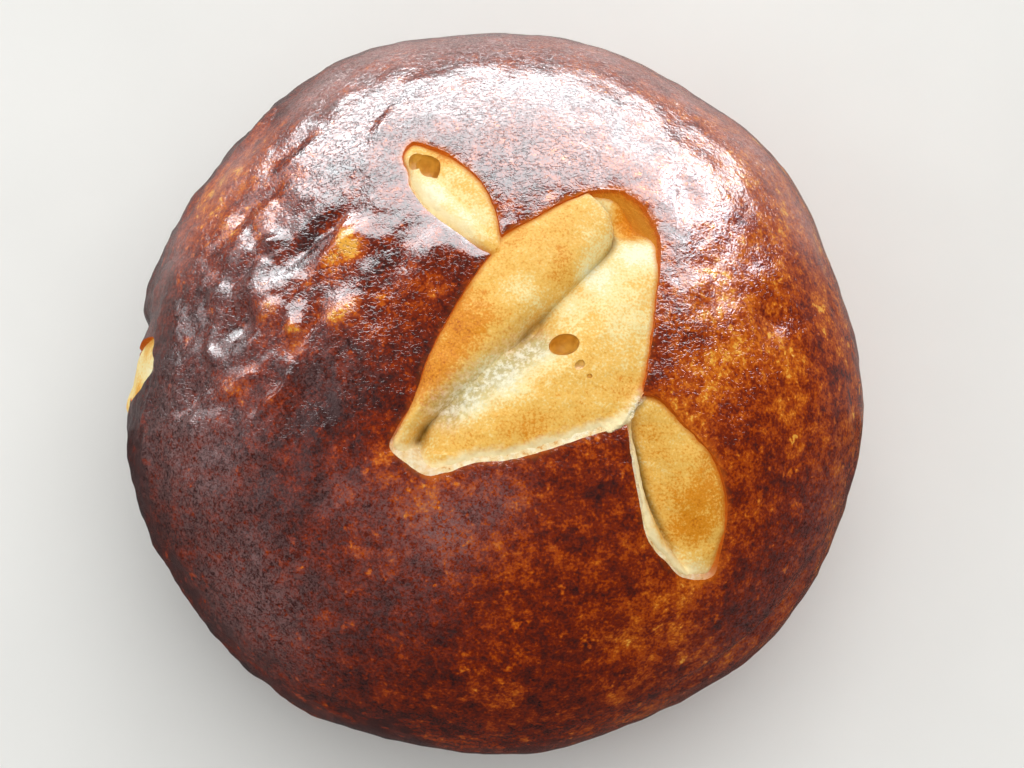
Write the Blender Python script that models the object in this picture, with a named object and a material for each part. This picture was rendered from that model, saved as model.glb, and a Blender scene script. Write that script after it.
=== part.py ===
"""Pretzel bun: a round roll in a dark glazed crust, scored crosswise on top, whose cuts burst open over pale crumb.

Metres, +Z up, the origin at the centre of the flat underside. The bun is made as it bakes: a domed crust, the
openings that its score tears in it, and the crumb that swells up through them. Places on the crust's upper half
are given in plan, as (x, y) seen from above, and are carried to and from the dome along rays from HEART.
"""

import math

import bmesh
import bpy
import numpy as np
from mathutils import Matrix, Vector, noise

MM = 0.001

# The domed body: an upper and a lower superellipsoid that share a waist.
WAIST_RADIUS = 49.5 * MM
WAIST_HEIGHT = 24 * MM
DOME_RISE = 36 * MM
DOME_POWER = 2.2
BASE_DROP = 28 * MM
BASE_POWER = 2.6
FOOT_ROUNDING = 1.2 * MM
HEART = np.array((0, 0, WAIST_HEIGHT))
# Waves round the waist: (how many, height, direction of a crest in degrees).
WAIST_WAVES = ((2, 0.18 * MM, 35), (3, 0.6 * MM, -21), (4, 0.2 * MM, 37), (5, 0.26 * MM, -26), (9, 0.3 * MM, -3))

# Lumps and dents in the crust's upper half: (x, y, radius, height).
LUMPS = (
    (-28.0 * MM, 6.5 * MM, 3.4 * MM, 1.3 * MM),
    (-31.8 * MM, 2.4 * MM, 2.4 * MM, -1.5 * MM),
    (-27.0 * MM, 1.2 * MM, 3.0 * MM, 1.0 * MM),
    (-23.6 * MM, -0.4 * MM, 2.2 * MM, -0.9 * MM),
    (-19.0 * MM, 1.6 * MM, 3.4 * MM, 1.1 * MM),
    (-18.2 * MM, 11.8 * MM, 3.2 * MM, 0.8 * MM),
    (-25.0 * MM, 11.5 * MM, 3.4 * MM, -0.8 * MM),
    (-37.6 * MM, -2.5 * MM, 3.0 * MM, -1.1 * MM),
    (-33.5 * MM, -1.5 * MM, 2.8 * MM, 0.8 * MM),
    (-39.0 * MM, -9.5 * MM, 3.4 * MM, 0.9 * MM),
    (-24.5 * MM, -7.5 * MM, 3.6 * MM, -0.6 * MM),
    (12.0 * MM, -27.0 * MM, 5.0 * MM, 0.6 * MM),
    (0.0 * MM, -35.0 * MM, 3.5 * MM, -0.7 * MM),
    (36.0 * MM, 3.0 * MM, 2.6 * MM, -0.7 * MM),
)
# Lumps and dents round the waist: (direction in degrees, height, half length along it, half height, relief).
SIDE_LUMPS = (
    (172.0, 31 * MM, 2.4 * MM, 8 * MM, -1.4 * MM),
    (183.2, 27.5 * MM, 2.0 * MM, 2.6 * MM, 0.9 * MM),
    (164.4, 28 * MM, 4.5 * MM, 7 * MM, 0.5 * MM),
)
# Low wrinkles over the crust, deepest on the puckered -X side.
WRINKLE_LENGTH = 8 * MM
WRINKLE_HEIGHT = 0.25 * MM
PUCKER_HEIGHT = 0.6 * MM
PUCKER_START = -12 * MM
PUCKER_FULL = -30 * MM
# A fold that runs round the +X -Y flank: (height, from and to in degrees, half width, depth).
FOLD_HEIGHT = 34 * MM
FOLD_FROM, FOLD_TO = -62, -28
FOLD_HALF_WIDTH = 1.6 * MM
FOLD_DEPTH = 0.9 * MM

# The crust at the edge of an opening: it swells up and then rolls over.
LIP_RISE = 0.4 * MM
LIP_REACH = 3.2 * MM
LIP_ROLL = 0.5 * MM
LIP_ROLL_REACH = 0.6 * MM

# The openings' edges, in plan: (x, y, width of the pale cut flank inside the edge), in millimetres.
EDGE_UPPER_LEFT = (
    (-11.5, 22.9, 0.5), (-10.2, 25.0, 0.3), (-7.4, 24.2, 0.3), (-4.6, 22.4, 0.3), (-1.5, 19.1, 0.3),
    (0.3, 15.4, 0.3), (1.0, 11.9, 0.3), (1.6, 9.2, 0.3), (-0.4, 9.2, 0.3), (-4.0, 11.5, 1.0),
    (-7.9, 14.8, 1.3), (-10.3, 18.2, 1.0), (-10.8, 20.6, 0.7),
)
EDGE_MIDDLE = (
    (0.9, 11.6, 0.3), (4.9, 14.1, 0.3), (9.6, 17.0, 0.3), (14.5, 18.7, 0.3), (18.0, 17.4, 0.3),
    (20.4, 13.6, 0.3), (20.8, 9.6, 0.3), (20.1, 3.6, 0.3), (19.5, -1.6, 0.3), (18.4, -7.2, 0.3),
    (17.6, -10.6, 0.3), (16.2, -11.9, 1.2), (11.5, -13.4, 1.8), (6.3, -15.2, 1.6), (1.7, -16.4, 1.4),
    (-2.2, -16.7, 1.2), (-5.7, -17.9, 1.2), (-8.0, -18.2, 1.0), (-10.6, -16.6, 1.2), (-12.5, -14.6, 0.9),
    (-11.6, -12.3, 0.5), (-9.7, -8.9, 0.3), (-8.1, -4.2, 0.3), (-5.9, 0.4, 0.3), (-2.8, 5.7, 0.3),
    (-0.4, 9.3, 0.3),
)
EDGE_LOWER_RIGHT = (
    (15.9, -10.8, 0.3), (17.8, -8.4, 0.3), (20.4, -8.5, 0.3), (23.6, -11.4, 0.3), (27.1, -15.0, 0.3),
    (28.6, -18.8, 0.3), (28.9, -22.6, 0.3), (28.1, -26.6, 0.3), (27.4, -28.8, 0.6), (25.4, -29.5, 0.9),
    (23.0, -29.2, 1.0), (21.4, -27.8, 1.1), (19.5, -26.1, 1.3), (18.4, -24.0, 1.4), (17.6, -20.0, 1.4),
    (16.8, -15.6, 1.2), (16.4, -12.4, 0.7),
)
# The creases that the crumb folds down to, in plan: (x, y, depth), in millimetres.
CREASE_UPPER_LEFT = ((-9.0, 22.4, 1.4), (-6.0, 18.6, 0.7), (-3.0, 15.0, 0.6), (-0.6, 12.0, 0.4))
CREASE_MIDDLE = (
    (15.0, 18.6, 0.8), (16.4, 16.6, 2.2), (17.0, 14.0, 2.6), (15.8, 11.2, 2.4), (11.9, 7.2, 2.2),
    (9.0, 4.2, 2.2), (6.9, 2.0, 2.6), (4.7, -0.2, 3.2), (3.0, -2.0, 2.6), (0.6, -3.9, 2.2), (-2.2, -6.6, 2.0),
    (-6.2, -10.3, 2.2), (-8.3, -12.2, 2.6), (-9.6, -14.0, 3.0), (-10.0, -16.0, 2.2),
)
CREASE_LOWER_RIGHT = (
    (17.6, -10.4, 1.2), (17.9, -12.6, 2.4), (18.9, -16.4, 3.0), (19.9, -20.6, 3.0), (21.4, -24.2, 2.6),
    (23.2, -27.2, 1.8), (24.2, -28.6, 0.8),
)
CURVE_STEP = 1.1 * MM
# The crumb: how far under the smooth dome it swells, how much of the way from a crease to an edge it climbs in
# (and at least how far), and how far it falls again at an edge.
CRUMB_SILL = 0.6 * MM
CRUMB_SHOULDER = 0.7
STEEPEST_LOBE = 3.4 * MM
CREASE_SHARPNESS = 2.2
CRUMB_EDGE_FALL = 0.6 * MM
FLANK_DEPTH = 1.8 * MM
# A pocket beside the end of the long lobe: (x, y, radius, depth).
POCKET = (18.4 * MM, 15.2 * MM, 2.4 * MM, 2.2 * MM)
# Under the crust the crumb lies this deep, so that it shows only where the crust is open.
BURIED = 2.6 * MM
BURIED_REACH = 1.5 * MM
BURIED_FLOOR = 2.5 * MM

# Gas bubbles broken open in the crumb: (x, y, radius along, radius across, depth, turn in degrees).
BUBBLES = (
    (8.8 * MM, -2.1 * MM, 1.85 * MM, 1.4 * MM, 1.9 * MM, 10),
    (10.5 * MM, -4.8 * MM, 0.9 * MM, 0.8 * MM, 0.6 * MM, 0),
    (-8.5 * MM, 21.2 * MM, 1.3 * MM, 1.8 * MM, 2.2 * MM, -15),
)
# The side burst, where the crumb shows through a tall split in the -X flank, a little below the crust.
BURST_DIRECTION = 179.8
BURST_HEIGHT = 34 * MM
BURST_HALF_LENGTH = 4 * MM
BURST_HALF_HEIGHT = 10.5 * MM
BURST_SINK = 1.0 * MM
BURST_POINTS = 24

# The openings are cut by wedges that run along the rays, from above the crust to below the crumb.
WEDGE_TOP = 1.22
WEDGE_BOTTOM = 0.8
# How finely the crust and the crumb are divided, and the band beside an edge that is divided again.
CRUST_CUTS = 20
CRUMB_CUTS = 16
FINE_BAND = 2.6 * MM
SNAP_REACH = 0.5 * MM

CRUST_COLOUR = (0.2, 0.055, 0.025, 1)
CRUMB_COLOUR = (0.72, 0.42, 0.13, 1)


# ---- Curves in plan -------------------------------------------------------------------------------------------


def smooth_curve(points_mm, closed):
    """A Catmull-Rom curve through the points, in metres, about CURVE_STEP between samples."""
    points = np.array(points_mm) * MM
    if closed:
        points = np.vstack((points[-1:], points, points[:2]))
    else:
        ends = (2 * points[:1] - points[1:2], 2 * points[-1:] - points[-2:-1])
        points = np.vstack((ends[0], points, ends[1]))
    samples = []
    for before, start, end, after in zip(points, points[1:], points[2:], points[3:]):
        count = max(1, round(np.linalg.norm((end - start)[:2]) / CURVE_STEP))
        t = np.arange(count)[:, None] / count
        samples.append(
            0.5 * (2 * start + (end - before) * t + (2 * before - 5 * start + 4 * end - after) * t**2
                   + (3 * start - before - 3 * end + after) * t**3)
        )
    if not closed:
        samples.append(points[-2:-1])
    return np.vstack(samples)


def to_curve(plan, curve, closed):
    """(distance, nearest point) from each plan point to the curve. The point's third value is interpolated too."""
    start = curve
    end = np.roll(curve, -1, axis=0)
    if not closed:
        start, end = start[:-1], end[:-1]
    along = end - start
    offset = plan[:, None, :] - start[None, :, :2]
    length_squared = np.maximum((along[:, :2] ** 2).sum(axis=1), 1e-18)
    share = np.clip((offset * along[None, :, :2]).sum(axis=2) / length_squared, 0, 1)
    distance = np.linalg.norm(offset - share[..., None] * along[None, :, :2], axis=2)
    nearest = distance.argmin(axis=1)
    rows = np.arange(len(plan))
    point = start[nearest] + share[rows, nearest][:, None] * along[nearest]
    return distance[rows, nearest], point


def is_inside(plan, curve):
    """Whether each plan point lies inside the closed curve, by counting the edges that it has on its +X side."""
    x0, y0 = curve[:, 0], curve[:, 1]
    x1, y1 = np.roll(x0, -1), np.roll(y0, -1)
    x, y = plan[:, 0:1], plan[:, 1:2]
    spans = (y0 > y) != (y1 > y)
    rise = np.where(y1 == y0, 1, y1 - y0)
    return (spans & (x < x0 + (y - y0) / rise * (x1 - x0))).sum(axis=1) % 2 == 1


EDGES = [smooth_curve(edge, closed=True) for edge in (EDGE_UPPER_LEFT, EDGE_MIDDLE, EDGE_LOWER_RIGHT)]
CREASES = [
    smooth_curve(crease, closed=False) for crease in (CREASE_UPPER_LEFT, CREASE_MIDDLE, CREASE_LOWER_RIGHT)
]


def opening_depth_in_plan(plan):
    """How far in from the nearest opening's edge each plan point lies: negative on the crust."""
    deepest = np.full(len(plan), -np.inf)
    for edge in EDGES:
        distance = to_curve(plan, edge, closed=True)[0]
        deepest = np.maximum(deepest, np.where(is_inside(plan, edge), distance, -distance))
    return deepest


def flank_foot(edge):
    """The closed curve that lies inside an opening's edge by the width of its flank."""
    along = np.roll(edge, -1, axis=0)[:, :2] - np.roll(edge, 1, axis=0)[:, :2]
    to_left = np.column_stack((-along[:, 1], along[:, 0])) / np.linalg.norm(along, axis=1)[:, None]
    left_is_inside = is_inside((edge[:, :2] + to_left * 0.1 * MM), edge).mean() > 0.5
    return edge[:, :2] + to_left * edge[:, 2:] * (1 if left_is_inside else -1)


# ---- The smooth dome and what is carried by it ----------------------------------------------------------------


def waist_radius(direction):
    radius = np.full(len(direction), WAIST_RADIUS)
    for count, height, crest in WAIST_WAVES:
        radius += height * np.cos(count * (direction - math.radians(crest)))
    return radius


def dome_points(rays):
    """Where unit rays from HEART leave the smooth body, before its foot is flattened."""
    radius = waist_radius(np.arctan2(rays[:, 1], rays[:, 0]))
    across = np.linalg.norm(rays[:, :2], axis=1) / radius
    upper = (across**DOME_POWER + (np.abs(rays[:, 2]) / DOME_RISE) ** DOME_POWER) ** (-1 / DOME_POWER)
    lower = (across**BASE_POWER + (np.abs(rays[:, 2]) / BASE_DROP) ** BASE_POWER) ** (-1 / BASE_POWER)
    return rays * np.where(rays[:, 2] > 0, upper, lower)[:, None]


def dome_from_plan(plan):
    """The points of the smooth body's upper half, from HEART, at these places in plan."""
    radius = waist_radius(np.arctan2(plan[:, 1], plan[:, 0]))
    across = np.clip(np.linalg.norm(plan, axis=1) / radius, 0, 1)
    rise = DOME_RISE * (1 - across**DOME_POWER) ** (1 / DOME_POWER)
    return np.column_stack((plan, rise))


def nearest_crease(plan):
    """(distance, nearest point with the depth as its third value) from each plan point to the creases."""
    found = [to_curve(plan, crease, closed=False) for crease in CREASES]
    distances = np.array([distance for distance, _ in found])
    points = np.array([point for _, point in found])
    return distances.min(axis=0), points[distances.argmin(axis=0), np.arange(len(plan))]


def smooth_step(value):
    value = np.clip(value, 0, 1)
    return value * value * (3 - 2 * value)


def stand_on_floor(points, floor, rounding):
    """Points below the floor come up to it, and its rim is rounded."""
    overlap = np.maximum(rounding - np.abs(points[:, 2] - floor), 0)
    points[:, 2] = np.maximum(points[:, 2], floor) + overlap**2 / (4 * rounding)
    return points


def wrinkles(dome):
    values = [noise.fractal(Vector(p / WRINKLE_LENGTH), 1.0, 2.0, 2) for p in dome]
    pucker = smooth_step((dome[:, 0] - PUCKER_START) / (PUCKER_FULL - PUCKER_START))
    return np.array(values) * (WRINKLE_HEIGHT + (PUCKER_HEIGHT - WRINKLE_HEIGHT) * pucker)


def fold(dome):
    """The groove along the +X -Y flank, fading out at its ends."""
    direction = np.degrees(np.arctan2(dome[:, 1], dome[:, 0]))
    along = np.sin(math.pi * np.clip((direction - FOLD_FROM) / (FOLD_TO - FOLD_FROM), 0, 1))
    off = (dome[:, 2] + WAIST_HEIGHT - FOLD_HEIGHT) / FOLD_HALF_WIDTH
    return -FOLD_DEPTH * along * np.exp(-(off**2))


def side_lumps(dome):
    relief = np.zeros(len(dome))
    for direction, height, half_length, half_height, swell in SIDE_LUMPS:
        off = (dome - side_point(direction, height)) / (half_length, half_length, half_height)
        relief += swell * np.exp(-(off**2).sum(axis=1))
    return relief


def crust_relief(dome):
    """How far the crust stands out from the smooth dome."""
    relief = wrinkles(dome) + fold(dome) + side_lumps(dome)
    upper = smooth_step(dome[:, 2] / (6 * MM))
    for x, y, radius, height in LUMPS:
        off_squared = (dome[:, 0] - x) ** 2 + (dome[:, 1] - y) ** 2
        relief += upper * height * np.exp(-off_squared / radius**2)
    outside = np.maximum(-opening_depth_in_plan(dome[:, :2]), 0)
    swell = LIP_RISE * np.exp(-(((outside - LIP_REACH) / LIP_REACH) ** 2))
    roll = LIP_ROLL * np.exp(-outside / LIP_ROLL_REACH)
    return relief + upper * (swell - roll)


def crumb_relief(dome):
    """How far the crumb stands out from the smooth dome: negative, as it lies below the crust's edges."""
    plan = dome[:, :2]
    inside = opening_depth_in_plan(plan)
    to_edge = np.maximum(inside, 0)
    to_crease, crease = nearest_crease(plan)

    across = np.maximum(to_crease + to_edge, 1e-9)
    share = to_crease / across
    climb = np.clip(to_crease / np.maximum(across * CRUMB_SHOULDER, STEEPEST_LOBE), 0, 1)
    beyond = np.clip((share - CRUMB_SHOULDER) / (1 - CRUMB_SHOULDER), 0, 1)
    relief = -CRUMB_SILL - crease[:, 2] * (1 - climb) ** CREASE_SHARPNESS - CRUMB_EDGE_FALL * beyond**2
    x, y, radius, depth = POCKET
    relief -= depth * np.exp(-(((plan[:, 0] - x) ** 2 + (plan[:, 1] - y) ** 2) / radius**2))

    buried = smooth_step(-inside / BURIED_REACH)
    relief = relief * (1 - buried) - BURIED * buried
    lower = smooth_step(-dome[:, 2] / (6 * MM) + 1)
    return np.maximum(relief * (1 - lower) - BURIED * lower, burst_relief(dome))


def burst_relief(dome):
    """The crumb behind the side burst, at its own depth there and buried elsewhere."""
    size = (BURST_HALF_LENGTH, BURST_HALF_LENGTH, BURST_HALF_HEIGHT)
    off = np.linalg.norm((dome - side_point(BURST_DIRECTION, BURST_HEIGHT)) / size, axis=1)
    return -BURST_SINK - (BURIED - BURST_SINK) * smooth_step(off / 1.5 - 0.8)


def side_point(direction, height):
    """A point of the smooth dome, from HEART, in this direction in degrees and about this high."""
    turn = math.radians(direction)
    ray = np.array((math.cos(turn), math.sin(turn), (height - WAIST_HEIGHT) / WAIST_RADIUS))
    return dome_points((ray / np.linalg.norm(ray))[None])[0]


def burst_rim():
    """The closed rim of the side burst, as points of the smooth dome from HEART."""
    rim = []
    for turn in np.arange(BURST_POINTS) * 2 * math.pi / BURST_POINTS:
        along = math.degrees(BURST_HALF_LENGTH * math.cos(turn) / WAIST_RADIUS)
        rim.append(side_point(BURST_DIRECTION + along, BURST_HEIGHT + BURST_HALF_HEIGHT * math.sin(turn)))
    return np.array(rim)


# ---- Meshes ---------------------------------------------------------------------------------------------------


def to_sphere(bm):
    """Carries a cube's surface to the unit sphere, with its squares kept near one size."""
    for vert in bm.verts:
        evened = Vector([math.tan(coordinate * math.pi / 4) for coordinate in vert.co])
        vert.co = evened.normalized()


def opening_depths(bm):
    """How far inside an opening or the side burst each vertex of a unit sphere lies."""
    dome = dome_points(np.array([vert.co for vert in bm.verts]))
    in_plan = np.where(dome[:, 2] > 0, opening_depth_in_plan(dome[:, :2]), -WAIST_RADIUS)
    in_burst = BURST_HALF_HEIGHT - np.linalg.norm(dome - side_point(BURST_DIRECTION, BURST_HEIGHT), axis=1)
    return np.maximum(in_plan, in_burst)


def snap_to_creases(bm):
    """Moves the vertices of a unit sphere that lie beside a crease onto it."""
    chosen = [vert for vert in bm.verts if vert.co.z > 0]
    plan = dome_points(np.array([vert.co for vert in chosen]))[:, :2]
    distance, crease = nearest_crease(plan)
    for vert, off, ray in zip(chosen, distance, dome_from_plan(crease[:, :2])):
        if off < SNAP_REACH:
            vert.co = Vector(ray).normalized()


def refine(bm, low, high):
    """Halves the faces with a corner whose depth inside an opening, or the burst, is between low and high."""
    depths = opening_depths(bm)
    bm.verts.index_update()
    chosen = [vert for vert, depth in zip(bm.verts, depths) if low < depth < high]
    edges = {edge for vert in chosen for face in vert.link_faces for edge in face.edges}
    bmesh.ops.subdivide_edges(bm, edges=list(edges), cuts=1, use_grid_fill=True)
    for vert in bm.verts:
        vert.co.normalize()


def mesh_object(name, bm, material, collection):
    bmesh.ops.recalc_face_normals(bm, faces=bm.faces)
    mesh = bpy.data.meshes.new(name)
    bm.to_mesh(mesh)
    bm.free()
    mesh.materials.append(material)
    mesh.shade_smooth()
    made = bpy.data.objects.new(name, mesh)
    collection.objects.link(made)
    return made


def swollen_sphere(name, relief_of, floor, cuts, refinements, material, collection):
    """A divided sphere carried to the dome plus relief_of's relief, standing on the floor."""
    bm = bmesh.new()
    bmesh.ops.create_cube(bm, size=2)
    bmesh.ops.subdivide_edges(bm, edges=bm.edges, cuts=cuts, use_grid_fill=True)
    to_sphere(bm)
    for low, high in refinements:
        refine(bm, low, high)
    snap_to_creases(bm)
    rays = np.array([vert.co for vert in bm.verts])
    dome = dome_points(rays)
    points = HEART + dome + rays * relief_of(dome)[:, None]
    stand_on_floor(points, floor, FOOT_ROUNDING)
    for vert, point in zip(bm.verts, points):
        vert.co = point
    bmesh.ops.triangulate(bm, faces=bm.faces)
    return mesh_object(name, bm, material, collection)


def sunk(points, depth):
    """Dome points from HEART, moved in along their rays and placed in the part."""
    return HEART + points * (1 - depth / np.linalg.norm(points, axis=1))[:, None]


def wedge(name, rim, foot, material, collection):
    """A closed cutter along the rays of the dome points in rim, drawn in to foot between the lip and the crumb."""
    rings = (
        HEART + rim * WEDGE_TOP,
        sunk(rim, LIP_ROLL),
        sunk(foot, FLANK_DEPTH),
        HEART + foot * WEDGE_BOTTOM,
    )
    bm = bmesh.new()
    rows = [[bm.verts.new(point) for point in ring] for ring in rings]
    bm.faces.new(rows[0])
    bm.faces.new(reversed(rows[-1]))
    for upper, lower in zip(rows, rows[1:]):
        for number in range(len(upper)):
            bm.faces.new((upper[number - 1], upper[number], lower[number], lower[number - 1]))
    bmesh.ops.triangulate(bm, faces=bm.faces)
    return mesh_object(name, bm, material, collection)


def bubble(name, place, material, collection):
    """An ellipsoid cutter, sunk to its waist in the crumb."""
    x, y, along, across, depth, turn = place
    dome = dome_from_plan(np.array([[x, y]]))
    outward = Vector(dome[0]).normalized()
    surface = sunk(dome, -crumb_relief(dome)[0])[0]
    bm = bmesh.new()
    bmesh.ops.create_uvsphere(bm, u_segments=16, v_segments=10, radius=1)
    facing = Vector((0, 0, 1)).rotation_difference(outward).to_matrix().to_4x4()
    turned = Matrix.Rotation(math.radians(turn), 4, "Z")
    sized = Matrix.Diagonal((along, across, depth, 1))
    bm.transform(Matrix.Translation(surface) @ facing @ turned @ sized)
    return mesh_object(name, bm, material, collection)


def add_boolean(target, operation, cutter):
    modifier = target.modifiers.new(cutter.name, "BOOLEAN")
    modifier.operation = operation
    modifier.solver = "EXACT"
    modifier.material_mode = "TRANSFER"
    modifier.object = cutter
    cutter.hide_render = True
    cutter.display_type = "WIRE"


def centre_on_origin(shown, others):
    """Moves the objects together, so that the box of the shown one stands on the origin by its bottom's centre."""
    corners = np.array(shown.evaluated_get(bpy.context.evaluated_depsgraph_get()).bound_box)
    low, high = corners.min(axis=0), corners.max(axis=0)
    for moved in (shown, *others):
        moved.location = (-(low[0] + high[0]) / 2, -(low[1] + high[1]) / 2, -low[2])


def material(name, colour, roughness):
    made = bpy.data.materials.new(name)
    made.use_nodes = True
    shader = made.node_tree.nodes["Principled BSDF"]
    shader.inputs["Base Color"].default_value = colour
    shader.inputs["Roughness"].default_value = roughness
    return made


def main():
    for old in list(bpy.data.objects):
        bpy.data.objects.remove(old)
    parts = bpy.data.collections.new("pretzel_bun")
    cutters = bpy.data.collections.new("pretzel_bun_cutters")
    for collection in (parts, cutters):
        bpy.context.scene.collection.children.link(collection)
    crust = material("glazed_crust", CRUST_COLOUR, 0.35)
    crumb = material("pale_crumb", CRUMB_COLOUR, 0.8)

    lips = [(-FINE_BAND, FINE_BAND)]
    bun = swollen_sphere("pretzel_bun", crust_relief, 0, CRUST_CUTS, lips, crust, parts)
    cuts = [(dome_from_plan(edge[:, :2]), dome_from_plan(flank_foot(edge))) for edge in EDGES]
    burst = burst_rim()
    cuts.append((burst, burst))
    for number, (rim, foot) in enumerate(cuts):
        add_boolean(bun, "DIFFERENCE", wedge(f"wedge_{number}", rim, foot, crumb, cutters))

    open_crumb = [(-FINE_BAND / 2, WAIST_RADIUS)] * 2
    core = swollen_sphere("core", crumb_relief, BURIED_FLOOR, CRUMB_CUTS, open_crumb, crumb, cutters)
    add_boolean(bun, "UNION", core)
    for number, place in enumerate(BUBBLES):
        add_boolean(bun, "DIFFERENCE", bubble(f"bubble_{number}", place, crumb, cutters))
    centre_on_origin(bun, cutters.objects)


main()
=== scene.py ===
"""Pretzel bun: the glazed crust with its torn openings, and the crumb that swells through them.

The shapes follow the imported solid, with the same body, openings and creases, made finer. Sizes are in metres, and
tables of places on the bun are in millimetres. Places on the upper half are given in plan, as (x, y) seen from
above, and are carried to and from the smooth dome along rays from HEART.
"""

import math

import bmesh
import bpy
import numpy as np
from mathutils import Matrix, Vector, noise


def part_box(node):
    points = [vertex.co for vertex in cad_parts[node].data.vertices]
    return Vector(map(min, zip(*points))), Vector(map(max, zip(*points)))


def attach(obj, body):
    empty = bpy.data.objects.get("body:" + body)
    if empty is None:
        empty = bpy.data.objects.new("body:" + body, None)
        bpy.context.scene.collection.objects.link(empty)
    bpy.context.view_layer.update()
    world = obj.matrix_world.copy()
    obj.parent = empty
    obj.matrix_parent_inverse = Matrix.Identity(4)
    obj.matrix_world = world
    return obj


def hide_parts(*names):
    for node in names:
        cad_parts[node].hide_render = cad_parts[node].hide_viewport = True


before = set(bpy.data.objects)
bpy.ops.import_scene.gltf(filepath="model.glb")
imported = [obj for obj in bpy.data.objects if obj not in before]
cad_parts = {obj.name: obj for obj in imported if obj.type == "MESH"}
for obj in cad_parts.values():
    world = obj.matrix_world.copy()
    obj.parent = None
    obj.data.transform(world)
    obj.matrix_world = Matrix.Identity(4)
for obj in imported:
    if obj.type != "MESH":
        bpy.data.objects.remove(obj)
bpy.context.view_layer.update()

MM = 0.001

# ---- The body, as in the solid ----

WAIST_RADIUS = 49.5 * MM
WAIST_HEIGHT = 24 * MM
DOME_RISE = 36 * MM
DOME_POWER = 2.2
BASE_DROP = 28 * MM
BASE_POWER = 2.6
FOOT_ROUNDING = 1.2 * MM
HEART = np.array((0, 0, WAIST_HEIGHT))
WAIST_WAVES = ((2, 0.18 * MM, 35), (3, 0.6 * MM, -21), (4, 0.2 * MM, 37), (5, 0.26 * MM, -26), (9, 0.3 * MM, -3))

# Knobs, ridges, pits and grooves of the crust's upper half: (x, y, half length, half width, turn, height), in
# millimetres and degrees.
CRAGS = (
    (-28, 6.5, 3.4, 3.4, 0, 0.6), (-31.8, 2.2, 2.1, 1.7, 70, -1.7), (-27.6, 3.6, 2.6, 2.3, 30, 1.1),
    (-24.3, 0.6, 1.9, 0.7, 80, 1.1), (-22.9, 0.9, 2.6, 0.6, 70, -0.9), (-18.7, 2, 2.4, 1.9, 40, 0.9),
    (-17.2, 11.6, 2.1, 1.6, 30, 1), (-20.3, 9.6, 2.6, 1, 45, 0.6), (-24, 11.4, 4.4, 1.1, 45, -1),
    (-20, 14.6, 2.6, 1, 25, -0.7), (-28, 12.6, 2.6, 1, 20, 0.7), (-31.5, 9, 2.6, 1, 35, -0.5),
    (-38.4, -6.2, 2.8, 1.1, 80, -1.3), (-35.3, -1.4, 1.7, 1.1, -40, 0.9), (-38.2, -9.8, 2, 1.3, -60, 0.8),
    (-31.4, -5.4, 3, 1.1, 30, 0.7), (-22.2, -8, 4.2, 3, 40, -0.7), (-26.7, -7.4, 2.8, 0.6, 50, 0.7),
    (-34.6, 6.8, 2, 1.3, 60, 0.6), (-44.6, -12.4, 2.4, 0.7, 75, 0.7), (-43.9, -17, 2.2, 0.6, 95, 0.5),
    (-45.2, -6, 4, 0.6, 80, 0.4), (-7, 8, 5.5, 3.2, 60, 0.9), (12, -27, 5, 5, 0, 0.6), (0, -35, 3.5, 3.5, 0, -0.7),
    (36, 3, 2.6, 2.6, 0, -0.7), (-14, 27.5, 3, 1, 60, 0.5), (24.5, 19, 2.4, 1.4, -40, -0.5),
    (-26, 24, 5, 1, 35, 0.4), (-31, 18, 5, 1, 50, -0.5), (15, -38, 5, 1.2, 15, -0.4),
)
# The same round the waist: (direction in degrees, height, half length along it, half height, relief).
SIDE_LUMPS = (
    (172, 31 * MM, 2.4 * MM, 8 * MM, -1.4 * MM),
    (183, 26.5 * MM, 2.2 * MM, 2.6 * MM, 0.9 * MM),
    (164.4, 28 * MM, 4.5 * MM, 7 * MM, 0.5 * MM),
)
CRAG_WARP = 0.9 * MM
CRAG_WARP_LENGTH = 3.5 * MM
WRINKLE_LENGTH = 8 * MM
WRINKLE_HEIGHT = 0.25 * MM
FINE_WRINKLE_LENGTH = 2.6 * MM
FINE_WRINKLE_HEIGHT = 0.12 * MM
PUCKER_LENGTH = 9 * MM
PUCKER_HEIGHT = 0.75 * MM
PUCKER_START = -12 * MM
PUCKER_FULL = -32 * MM
PUCKER_LEVEL = 0.25
UPPER_FADE = 6 * MM
FOLD_HEIGHT = 34 * MM
FOLD_FROM, FOLD_TO = -62, -28
FOLD_HALF_WIDTH = 1.6 * MM
FOLD_DEPTH = 0.9 * MM
LIP_RISE = 0.2 * MM
LIP_REACH = 3.2 * MM
LIP_ROLL = 0.2 * MM
LIP_ROLL_REACH = 0.5 * MM

# ---- The openings, as in the solid ----

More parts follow.
